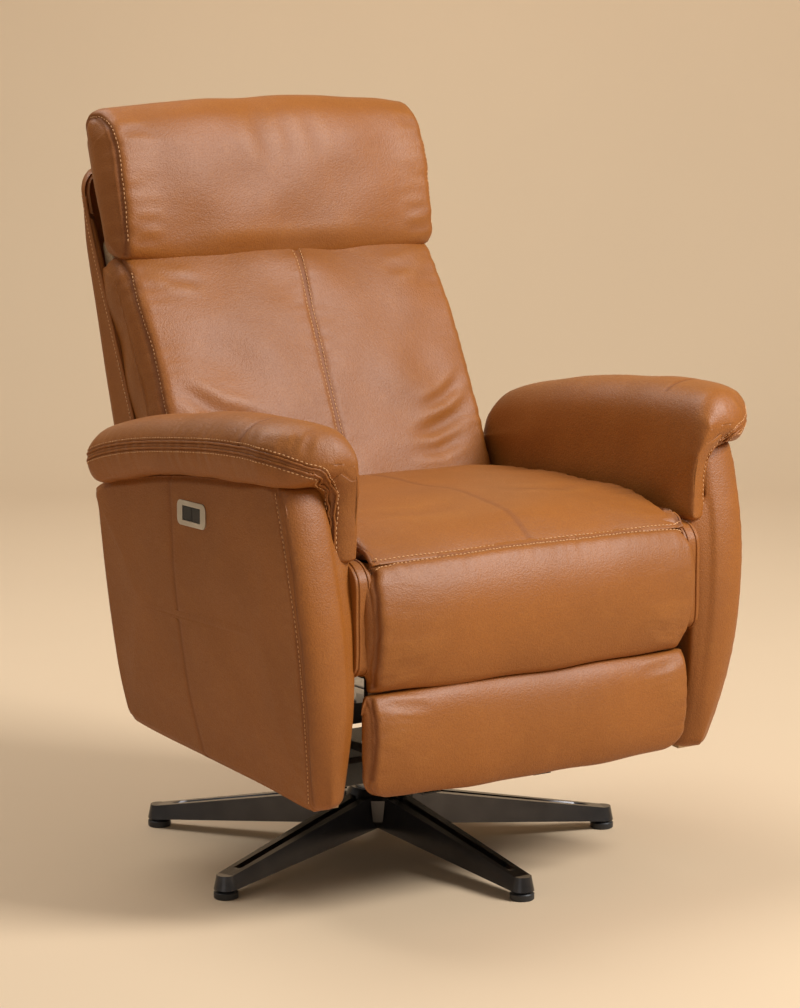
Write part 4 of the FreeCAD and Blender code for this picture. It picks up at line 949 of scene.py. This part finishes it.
def roll():
    """Outline of the roll, free only in front."""
    ring = loop(ROLL_OUTLINE, 16, 300)
    free = smooth(-outline_normals(ring)[:, 0], 0.05, 0.7) * smooth(ring[:, 0], -0.352, -0.372)
    spine = [
        (-0.352, 0.336), (-0.366, 0.390), (-0.3665, 0.430), (-0.3665, 0.460),
        *(on_hinge(0.034, angle) for angle in (140, 90, 30)),
    ]
    wide = smooth(ring[:, 0], -0.368, -0.382)
    half, bulge = 0.2610 + 0.0085 * wide, 0.0005 + 0.0070 * wide
    return pillow(ring, free, spine, half, 0.009, edge=0.016, bulge=bulge, across=180, tight=3.2)


roll_form = roll()
relax(roll_form, 0.15, 0.0014, 41)
sew(roll_form, FRONT_SEAM, 0.0040, 0.0022, 0.0007, 0.016, 0.020, 42)
for side in (-1, 1):
    line = ((-0.366, 0.490), (-0.380, 0.455), (-0.384, 0.410), (-0.378, 0.365), (-0.366, 0.332))
    sew(roll_form, [(side * 0.2655, y, z) for y, z in line], 0.0045, 0.0026, 0.0008, 0.026, 0.024, 43)
    for number in range(5):
        z = 0.338 + 0.010 * number
        inner = 0.19 - 0.01 * number
        crease = [(0.262, -0.376, z), (0.235, -0.386, z + 0.004), (inner, -0.388, z + 0.014)]
        fold(roll_form, mirrored(crease, side), 0.006, 0.0016)
roll_piece = shape("footrest_roll", roll_form)
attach(roll_piece, "footrest")
say_size("roll", roll_form)

# %% [markdown]
# ### The lower panel
#
# A thinner pad under the crease. Its lower corners are round, so its half width is a
# function of the height.

# %% The lower panel of the footrest
PANEL_OUTLINE = [
    (-0.3580, 0.3205), (-0.3690, 0.3120), (-0.3765, 0.2930), (-0.3790, 0.2650), (-0.3775, 0.2360),
    (-0.3720, 0.2080), (-0.3630, 0.1870), (-0.3530, 0.1790), (-0.3460, 0.1860), (-0.3455, 0.2200),
    (-0.3455, 0.2600), (-0.3455, 0.2950), (-0.3480, 0.3160),
]
PANEL_CORNER, PANEL_HALF, PANEL_FOOT = 0.030, 0.2670, 0.179


def lower_panel():
    """Outline of the panel; its half width is less by a quarter circle at the bottom corners."""
    ring = loop(PANEL_OUTLINE, 20, 230)
    free = smooth(-outline_normals(ring)[:, 0], 0.0, 0.7)
    down = np.clip(PANEL_CORNER - (ring[:, 1] - PANEL_FOOT), 0, PANEL_CORNER)
    half = PANEL_HALF - (PANEL_CORNER - np.sqrt(PANEL_CORNER**2 - down**2))
    spine = [(-0.357, 0.295), (-0.357, 0.205)]
    return pillow(ring, free, spine, half, 0.006, edge=0.012, bulge=0.008, across=170, tight=3.2)


panel_form = lower_panel()
relax(panel_form, 0.13, 0.0012, 51)
for side in (-1, 1):
    for number in range(5):
        z = 0.308 - 0.011 * number
        inner = 0.17 + 0.01 * number
        crease = [(0.258, -0.366, z), (0.225, -0.374, z - 0.003), (inner, -0.378, z - 0.010)]
        fold(panel_form, mirrored(crease, side), 0.006, 0.0014)
    line = ((-0.362, 0.314), (-0.371, 0.290), (-0.373, 0.262), (-0.370, 0.235), (-0.365, 0.212))
    sew(panel_form, [(side * 0.2620, y, z) for y, z in line], 0.0045, 0.0022, 0.0007, 0.024, 0.024, 53)
panel_piece = shape("footrest_panel", panel_form)
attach(panel_piece, "footrest")
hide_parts("footrest_pad")
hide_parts("footrest_pad")
ROWS_OF_FRONT_SEAM = ((roll_form, -0.0015, -0.0050), (seat_form, 0.0015, 0.0075))
for number, (form, inward, offset) in enumerate(ROWS_OF_FRONT_SEAM):
    wanted = even(np.array(FRONT_SEAM, float), 200) + np.array([0, inward, offset])
    path, up = drop_on(form, wanted, 0.0009)
    stitches(f"front_seam_stitches_{number + 1}", path, up, "footrest")
say_size("lower panel", panel_form)

# %% [markdown]
# ## The arms
#
# Both arms come from one set of functions, mirrored by the sign of X. Each has a fat pad
# whose cover drapes down to the seat, a thin outer panel, a bulging front facing and a
# small cheek beside the footrest's hinge.

# %% Curves that the arms share
PAD_TOP = [
    (0.150, 0.602), (0.128, 0.629), (0.027, 0.655), (-0.103, 0.673), (-0.242, 0.685), (-0.330, 0.683),
    (-0.385, 0.668),
]
ARM_EDGE = [(0.155, 0.545), (-0.080, 0.587), (-0.319, 0.600), (-0.390, 0.601)]
OUTER_FACE = [
    (0.160, 0.3320), (0.168, 0.3330), (0.290, 0.3580), (0.420, 0.3730), (0.510, 0.3785), (0.610, 0.3800),
]
FRONT_ARC = ((-0.326, 0.168), (-0.357, 0.420), (-0.319, 0.600))
FACING_INNER = [(0.160, 0.2950), (0.300, 0.2985), (0.490, 0.3110), (0.610, 0.3160)]


def curve_value(line, where):
    """The second coordinate of a smooth curve through the points, read at values of the first."""
    curve = through(line, 20)
    order = np.argsort(curve[:, 0])
    return np.interp(where, curve[order, 0], curve[order, 1])


def front_edge(z):
    """Y of the arm's front at the heights: the circle through the three points of FRONT_ARC."""
    a, b, c = (np.array(point) for point in FRONT_ARC)
    rows = np.array([b - a, c - a]) * 2
    centre = np.linalg.solve(rows, [b @ b - a @ a, c @ c - a @ a])
    return centre[0] - np.sqrt(((a - centre) ** 2).sum() - (np.asarray(z) - centre[1]) ** 2)


print("pad top and edge:", [curve_value(line, -0.1).round(3) for line in (PAD_TOP, ARM_EDGE)])

# %% The arm pads
PAD_REAR, PAD_FRONT, PAD_ROUND = 0.142, -0.380, 0.032
PAD_IN, PAD_OUT, PAD_BEND, PAD_BEND_Y = 0.2790, 0.4065, 0.085, -0.296
PAD_SEAMS = (0.0, 0.0085)


def outer_reach(y):
    """X of the pad's outside: straight, then a quarter circle in plan round the front corner."""
    forward = np.clip(PAD_BEND_Y - np.asarray(y, float), 0, PAD_BEND)
    return PAD_OUT - PAD_BEND + np.sqrt(PAD_BEND**2 - forward**2)


def pad_section(y):
    """The pad's section at a place along the arm: a roll above, and a thin leg down to the seat."""
    top, base = curve_value(PAD_TOP, y), curve_value(ARM_EDGE, y)
    squeeze = (outer_reach(y) - PAD_IN) / (PAD_OUT - PAD_IN)
    leg = min(0.2900 + 0.0285 * smooth(y, -0.300, -0.345), PAD_IN + 0.081 * squeeze - 0.004)
    low = base - 0.5 * (base - 0.602)
    controls = [
        (0.2800, 0.5020), (0.2772, 0.5600), (0.2795, top - 0.064), (0.2890, top - 0.030),
        (0.3120, top - 0.0075), (0.3450, top), (0.3780, top - 0.0060), (0.3985, top - 0.0210),
        (PAD_OUT, top - 0.0400), (0.4030, top - 0.0620), (0.3900, base + 0.0030), (0.3600, base + 0.0015),
        (leg + 0.014 * squeeze, low - 0.002), (leg + 0.001, low - 0.018),
        (leg, 0.5600), (leg - 0.001, 0.5030),
    ]
    roll_part = [(PAD_IN + (x - PAD_IN) * squeeze, z) for x, z in controls[3:12]]
    controls = controls[:3] + roll_part + controls[12:]
    return loop(controls, 14, 236)


def arm_pad(side):
    """Sections along Y. Both ends are elliptical: the section shrinks onto its spine as sqrt(1 - t^2)."""
    turn = PAD_ROUND * np.sin(np.pi / 2 * np.linspace(0, 1, 18))
    first, last = PAD_REAR - PAD_ROUND, PAD_FRONT + PAD_ROUND
    places = np.concatenate([first + turn[::-1], np.linspace(first, last, 150)[1:-1], last - turn])
    past = np.maximum(places - first, last - places) / PAD_ROUND
    keep = round_end(past)
    rings = []
    for y, share in zip(places, keep):
        section = pad_section(y)
        top, base = curve_value(PAD_TOP, y), curve_value(ARM_EDGE, y)
        centre = (top + base) / 2
        leg_line = [(0.2845, 0.506), (0.2850, base - 0.010), (0.2980, base + 0.026)]
        middle = nearest_on(section, leg_line + [(0.3300, centre), (0.3760, centre)])
        flat = middle + (section - middle) * max(share, 0.02)
        forward = smooth(y, -0.29, PAD_FRONT) * smooth(flat[:, 1], 0.640, 0.560)
        rings.append(np.stack([flat[:, 0], y + 0.020 * forward, flat[:, 1]], 1))
    return Form(mirrored(rings, side))


def pad_seam(side, drop=0.0):
    """Where the top of the pad is sewn to its lower strip: along the outside, round the front and down."""
    places = np.array([0.132, 0.080, 0.0, -0.10, -0.20, -0.28, -0.310, -0.335, -0.355, -0.368])
    outside = np.stack([outer_reach(places), places, curve_value(PAD_TOP, places) - 0.035 - drop], 1)
    outside[-3:, 2] -= [0.001, 0.003, 0.006]
    front = [
        (0.342 + 0.5 * drop, -0.376, 0.622 - drop), (0.328 + drop, -0.368, 0.588),
        (0.320 + drop, -0.357, 0.545), (0.318 + drop, -0.355, 0.508),
    ]
    return mirrored(through(np.vstack([outside, front]), 14), side)


CROSS_SEAM = [
    (0.405, -0.268, 0.650), (0.400, -0.270, 0.664), (0.385, -0.272, 0.678), (0.350, -0.272, 0.686),
    (0.300, -0.272, 0.676),
]


def make_pad(side, word):
    """A pad with its two seams, the creases of its front corner, its welts and its stitches."""
    pad = arm_pad(side)
    relax(pad, 0.12, 0.0014, 61 + side)
    for drop in PAD_SEAMS:
        sew(pad, pad_seam(side, drop), 0.0026, 0.0026, 0.0006, 0.014, 0.020, 62)
    for number in range(7):
        y = -0.300 - 0.011 * number
        x = float(outer_reach(y))
        crease = [(x, y, 0.642), (x - 0.010, y + 0.004, 0.660), (x - 0.026, y + 0.014, 0.674)]
        fold(pad, mirrored(crease, side), 0.0055, 0.0013)
    sew(pad, mirrored(CROSS_SEAM, side), 0.0028, 0.0014, 0.0002, 0.01, 0.02, 64)
    piece = shape(f"arm_pad_cover_{word}", pad)
    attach(piece, "seat")
    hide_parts(f"arm_pad_{word}")
    for number, drop in enumerate(PAD_SEAMS):
        path, up = drop_on(pad, even(pad_seam(side, drop), 220), 0.0005)
        welt(f"arm_pad_welt_{word}_{number + 1}", path, up, "seat", 0.0016)
    for number, drop in enumerate((-0.0052, 0.0138)):
        path, up = drop_on(pad, even(pad_seam(side, drop), 220), 0.0003)
        stitches(f"arm_pad_stitches_{word}_{number + 1}", path, up, "seat")
    return pad


for side, word in SIDES:
    pad = make_pad(side, word)
say_size("arm pad", pad)

# %% [markdown]
# ### The outer panels
#
# A thin upholstered board with curved edges. Its cover is joined in the middle by one
# upright seam, and a topstitched seam runs down the front edge.

# %% The outer panels
PANEL_EDGE = [
    (-0.3190, 0.598), (-0.3480, 0.510), (-0.3570, 0.420), (-0.3490, 0.290), (-0.3300, 0.180),
    (-0.3200, 0.1690), (-0.2500, 0.1750), (-0.1780, 0.1815), (-0.0300, 0.1940), (0.0980, 0.2060),
    (0.1220, 0.2140), (0.1310, 0.2340), (0.1380, 0.3600), (0.1450, 0.5100), (0.1440, 0.5440),
    (0.0400, 0.5680), (-0.0800, 0.5860), (-0.2200, 0.5960),
]
SWITCH, SWITCH_POCKET = np.array([-0.1105, 0.538]), 0.0142
PANEL_SPINE = [(-0.24, 0.40), (0.02, 0.39)]
PANEL_THICK, PANEL_LIP = 0.015, 0.004


def outer_panel(side):
    """Rings shrink from the edge to a spine at the back and the face. The face sinks at the switch."""
    edge = loop(PANEL_EDGE, 16, 420)
    middle = nearest_on(edge, PANEL_SPINE)
    front = 0.97 * np.linspace(0, 1, 62) ** 1.5
    back_share = np.linspace(0.97, 0, 10)
    lip = np.sin(np.pi / 2 * np.linspace(0, 1, 6))[1:-1]
    rings = [(edge + (middle - edge) * share, np.full(len(edge), -PANEL_THICK)) for share in back_share]
    for turn in lip:
        rings.append((edge, np.full(len(edge), -PANEL_THICK + (PANEL_THICK - PANEL_LIP) * turn)))
    for share in front:
        flat = edge + (middle - edge) * share
        gap = np.linalg.norm(flat - edge, axis=1)
        away = smooth(np.linalg.norm(flat - SWITCH, axis=1), 0.035, 0.09)
        rise = -PANEL_LIP * (1 - smooth(gap, 0.0, 0.010)) + 0.0024 * smooth(gap, 0.01, 0.12) * away - 0.0004
        if side < 0:
            beside = np.abs(flat - SWITCH)
            within = smooth(beside[:, 0], 0.0310, 0.0255) * smooth(beside[:, 1], 0.0140, 0.0105)
            rise = rise - SWITCH_POCKET * within
        rings.append((flat, rise))
    grid = [np.column_stack([curve_value(OUTER_FACE, flat[:, 1]) + rise, flat]) for flat, rise in rings]
    return Form(mirrored(grid, side))


def on_panel(side, y, z):
    """A point of the outer panel's face."""
    return (side * float(curve_value(OUTER_FACE, z)), y, z)


def make_panel(side, word):
    """An outer panel with its middle seam and the topstitched seam beside its front edge."""
    panel = outer_panel(side)
    relax(panel, 0.16, 0.0007, 71 + side)
    middle_seam = [on_panel(side, -0.052 - 0.045 * (0.58 - z), z) for z in (0.588, 0.5, 0.4, 0.3, 0.19)]
    sew(panel, middle_seam, 0.0030, 0.0010, 0.0002, 0.012, 0.03, 72)
    heights = (0.592, 0.52, 0.45, 0.36, 0.27, 0.18)
    front_seam = [on_panel(side, float(front_edge(z)) + 0.0065, z) for z in heights]
    sew(panel, front_seam, 0.0026, 0.0009, 0.0004, 0.02, 0.018, 73)
    piece = shape(f"outer_panel_cover_{word}", panel)
    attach(piece, "seat")
    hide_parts(f"outer_panel_{word}")
    stitch_along(f"outer_panel_stitches_{word}", panel, front_seam, "seat", 0.0003)
    return panel


for side, word in SIDES:
    outer = make_panel(side, word)
say_size("outer panel", outer)

# %% [markdown]
# ### The front facings
#
# Each facing is one strip of leather that bulges forward between the outer panel and the
# inner edge of the arm, and wraps back round the arm's board.

# %% The front facings
FACING_FOOT, FACING_TOP, FACING_ROUND, FACING_TOP_ROUND = 0.1685, 0.6000, 0.014, 0.008


def facing(side):
    """Plan sections from the lower end up. The ends shrink towards the spine, as sqrt(1 - t^2)."""
    heights = np.linspace(FACING_FOOT, FACING_TOP, 130)
    x_out, x_in = curve_value(OUTER_FACE, heights) - 0.0012, curve_value(FACING_INNER, heights)
    y = front_edge(heights)
    wall = 0.2845 + 0.032 * smooth(heights, 0.515, 0.535)
    below, above = FACING_FOOT + FACING_ROUND - heights, heights - (FACING_TOP - FACING_TOP_ROUND)
    past = np.maximum(below, above) / FACING_ROUND
    keep = round_end(past)
    rings = []
    for z, xo, xi, yf, xw, share in zip(heights, x_out, x_in, y, wall, keep):
        half = (xo + xi) / 2
        controls = [
            (xo, yf + 0.001), (xo - 0.003, yf - 0.007), (xo - 0.014, yf - 0.0145), (half, yf - 0.0185),
            (xi + 0.012, yf - 0.0170), (xi + 0.001, yf - 0.0110), ((xi + xw) / 2, yf - 0.0060),
            (xw + 0.0006, yf + 0.0005), (xw, yf + 0.012), (xw, yf + 0.030), (xw + 0.002, yf + 0.048),
            (xw + 0.006, yf + 0.040), (half - 0.01, yf + 0.016), (half + 0.01, yf + 0.012),
            (xo - 0.008, yf + 0.010),
        ]
        section = loop(controls, 12, 170)
        spine = [(xw + 0.003, yf + 0.030), (xi + 0.006, yf + 0.004), (xo - 0.012, yf - 0.001)]
        middle = nearest_on(section, spine)
        flat = middle + (section - middle) * max(share, 0.03)
        rings.append(np.column_stack([flat, np.full(len(flat), z)]))
    return Form(mirrored(rings, side))


for side, word in SIDES:
    strip = facing(side)
    relax(strip, 0.16, 0.0006, 81 + side)
    heights = np.array([0.595, 0.5, 0.4, 0.3, 0.18])
    edge_line = [curve_value(OUTER_FACE, heights) - 0.002, front_edge(heights) - 0.002, heights]
    sew(strip, mirrored(np.column_stack(edge_line), side), 0.0034, 0.0016, 0.0003, 0.016, 0.020, 82)
    strip_piece = shape(f"arm_facing_cover_{word}", strip)
    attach(strip_piece, "seat")
    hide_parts(f"arm_facing_{word}")
say_size("facing", strip)

# %% [markdown]
# ### The cheeks
#
# Small pads on the inner side of the arms. Their front edge is round about the hinge of
# the footrest, and two welts run along it.

# %% The cheeks
CHEEK_OUTLINE = [
    *(on_hinge(0.033, angle) for angle in (90, 120, 150, 178)),
    (-0.3680, 0.4300), (-0.3680, 0.3760), (-0.3640, 0.3560), (-0.3480, 0.3470), (-0.3100, 0.3460),
    (-0.2830, 0.3480), (-0.2765, 0.3580), (-0.2760, 0.4200), (-0.2765, 0.4860), (-0.2850, 0.4975),
    (-0.3100, 0.4980),
]
CHEEK_SPINE, CHEEK_CENTRE = [(-0.322, 0.470), (-0.322, 0.375)], np.array([-0.322, 0.42])
CHEEK_MIDDLE, CHEEK_FACE = 0.2765, 0.289
for side, word in SIDES:
    cheek_ring = loop(CHEEK_OUTLINE, 12, 200)
    cheek = pillow(cheek_ring, np.zeros(200), CHEEK_SPINE, 0.0125, 0.0, edge=0.004, bulge=0.0012, across=24)
    cheek.points = cheek.points + np.array([side * CHEEK_MIDDLE, 0, 0])
    cheek_piece = shape(f"seat_cheek_cover_{word}", cheek)
    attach(cheek_piece, "seat")
    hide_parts(f"seat_cheek_{word}")
    front = cheek_ring[cheek_ring[:, 0] < -0.318]
    start = int(np.argmax(np.linalg.norm(np.diff(front, axis=0), axis=1))) + 1
    front = np.roll(front, -start, 0) if start < len(front) - 1 else front
    for number, inset in enumerate((0.0055, 0.0200)):
        line = np.column_stack([np.full(len(front), side * (CHEEK_FACE - inset)), front])
        out = unit_length(np.column_stack([np.zeros(len(front)), front - CHEEK_CENTRE]))
        welt(f"seat_cheek_welt_{word}_{number + 1}", line + 0.0004 * out, out, "seat", 0.0016)
say_size("cheek", cheek)

# %% [markdown]
# ## The shell of the back
#
# A board wrapped in plainer leather closes the back from behind. It is a U in plan, whose
# sides narrow towards the top, with a small roof.

# %% The back shell
SHELL_FRONT = [(0.1780, 0.2450), (0.1610, 0.4500), (0.2260, 0.6220), (0.3330, 0.8680), (0.3660, 0.9680)]
SHELL_REAR = [
    (0.2100, 0.2650), (0.2660, 0.4650), (0.3220, 0.6650), (0.3700, 0.8400), (0.3800, 0.8900),
    (0.3895, 0.9740),
]
SHELL_HALF, SHELL_WALL, SHELL_TOP, SHELL_CORNER = 0.2700, 0.0090, 0.9755, 0.036


def shell_path(front, rear, half, inset):
    """A U in plan with round corners, from one front edge to the other."""
    deep = rear - front - inset
    radius = min(0.030, 0.85 * deep) - 0.3 * inset
    angle = np.linspace(0, np.pi / 2, 16)
    x_side, y_rear = half - inset, rear - inset
    corner_x = x_side - radius + radius * np.cos(angle)
    corner_y = y_rear - radius + radius * np.sin(angle)
    side_y = np.linspace(front, y_rear - radius, 26)[:-1]
    right = np.concatenate([np.stack([np.full(25, x_side), side_y], 1), np.stack([corner_x, corner_y], 1)])
    across = np.stack([np.linspace(x_side - radius, -(x_side - radius), 92)[1:-1], np.full(90, y_rear)], 1)
    return np.vstack([right, across, (right * [-1, 1])[::-1]])


def back_shell():
    """Rows up the back, each a thin closed U. The last rows draw in to the front edge and make the roof."""
    front_line, rear_line = even(through(SHELL_FRONT, 30), 400), even(through(SHELL_REAR, 30), 400)
    rows = []
    for share in np.linspace(0, 1, 150):
        fy, fz = front_line[int(share * 399)]
        ry, rz = rear_line[int(share * 399)]
        above = np.clip((rz - (SHELL_TOP - SHELL_CORNER)) / SHELL_CORNER, 0, 1)
        half = SHELL_HALF - SHELL_CORNER * (1 - round_end(above))
        plan = np.vstack([shell_path(fy, ry, half, 0.0), shell_path(fy, ry, half, SHELL_WALL)[::-1]])
        back_part = (plan[:, 1] - fy) / (ry - fy)
        rows.append(np.column_stack([plan, fz + (rz - fz) * np.clip(back_part, 0, 1)]))
    roof = rows[-1].copy()
    count = len(roof) // 2
    for turn in np.linspace(0, 1, 9)[1:]:
        row = roof.copy()
        row[:, 1] += (front_line[-1][0] - row[:, 1]) * turn * 0.98
        row[:, 2] = roof[:, 2] + 0.004 * math.sin(np.pi * min(turn, 0.5))
        row[count:, 2] -= 0.005
        rows.append(row)
    return Form(np.array(rows))


shell = back_shell()
relax(shell, 0.20, 0.0008, 91)
shell_piece = shape("back_shell_cover", shell, LEATHER_SHELL)
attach(shell_piece, "back")
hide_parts("back_shell")
for side, word in SIDES:
    front_line = even(through(SHELL_FRONT, 30), 60)[:57]
    count = len(front_line)
    edge_line = np.column_stack([np.full(count, side * (SHELL_HALF + 0.0003)), front_line])
    outward = np.tile([side * 0.8, -0.6, 0.0], (count, 1))
    welt(f"back_shell_welt_{word}", edge_line, outward, "back", 0.0022, LEATHER_SHELL)
    inner_line = edge_line + [side * 0.0002, 0.0085, 0]
    stitches(f"back_shell_stitches_{word}", inner_line, np.tile([side * 1.0, 0.0, 0.0], (count, 1)), "back")
say_size("shell", shell)

# %% [markdown]
# ## The room
#
# A pale warm floor runs into a backdrop of the same colour. The lamps are large soft boxes,
# and the world fills in evenly. Where the camera or a ray through something clear meets
# the world, it sees the backdrop's colour. The object is lit by a warm white.

# %% Floor and backdrop
BACKDROP = (0.700, 0.530, 0.350)


def room():
    """A swept sheet: flat floor, a quarter bend behind, then a wall; x from -7 to 7."""
    bend = np.linspace(0, np.pi / 2, 24)
    profile = np.vstack([
        [[-6.0, 0.0]], np.stack([3.2 + 1.4 * np.sin(bend), 1.4 - 1.4 * np.cos(bend)], 1), [[4.6, 6.0]],
    ])
    sheet = np.stack([np.column_stack([np.full(len(profile), x), profile]) for x in (-7.0, 7.0)])
    count = len(profile)
    k = np.arange(count - 1)
    faces = np.stack([k, k + 1, count + k + 1, count + k], 1)
    made = make_mesh("studio_floor", sheet.reshape(-1, 3), faces[:, ::-1], studio_paper())
    made.rotation_euler = (0, 0, VIEW_AZIMUTH)
    return made


def studio_paper():
    """Matt paper with the faintest mottling."""
    paper = Finish("studio_paper")
    cloud = paper.noise(1.2, 2.0)
    tone = paper.mix(cloud.between(0.2, 0.8), BACKDROP, tuple(0.97 * c for c in BACKDROP))
    return paper.set(Base_Color=tone, Roughness=0.9)


room()

# %% Lamps and world
def soft_box(name, spot, target, size, power):
    """An area lamp of the size, aimed at the target."""
    light = bpy.data.lights.new(name, "AREA")
    light.shape = "RECTANGLE"
    light.size, light.size_y = size
    light.energy = power
    lamp = bpy.data.objects.new(name, light)
    bpy.context.scene.collection.objects.link(lamp)
    lamp.location = spot
    lamp.rotation_mode = "QUATERNION"
    lamp.rotation_quaternion = (Vector(target) - Vector(spot)).to_track_quat("-Z", "Y")
    return lamp


soft_box("key_light", (1.75, -2.95, 3.1), (0, 0.05, 0.65), (1.5, 1.5), 205)
soft_box("fill_light", (-3.4, -2.2, 1.7), (0, 0, 0.55), (2.4, 2.4), 9)
soft_box("top_light", (-0.6, 1.2, 3.4), (0, 0.1, 0.6), (2.0, 2.0), 62)
soft_box("wall_light", (0.91, 1.32, 2.8), (2.62, 3.78, 1.2), (2.4, 1.2), 26)


def world_light():
    """Warm white for the object. Camera rays and transmission rays see the backdrop's colour."""
    world = bpy.data.worlds.new("studio_world")
    world.use_nodes = True
    bpy.context.scene.world = world
    tree = world.node_tree
    path = tree.nodes.new("ShaderNodeLightPath")
    seen = tree.nodes.new("ShaderNodeMath")
    seen.operation = "MAXIMUM"
    fill = tree.nodes["Background"]
    fill.inputs["Color"].default_value = (1.0, 0.93, 0.84, 1)
    fill.inputs["Strength"].default_value = 0.23
    plain = tree.nodes.new("ShaderNodeBackground")
    plain.inputs["Color"].default_value = (*BACKDROP, 1)
    plain.inputs["Strength"].default_value = 1.0
    mix = tree.nodes.new("ShaderNodeMixShader")
    for start, end in (
        (path.outputs["Is Camera Ray"], seen.inputs[0]),
        (path.outputs["Is Transmission Ray"], seen.inputs[1]),
        (seen.outputs[0], mix.inputs[0]),
        (fill.outputs[0], mix.inputs[1]),
        (plain.outputs[0], mix.inputs[2]),
        (mix.outputs[0], tree.nodes["World Output"].inputs["Surface"]),
    ):
        tree.links.new(start, end)


world_light()
bpy.context.scene.view_settings.view_transform = "Standard"
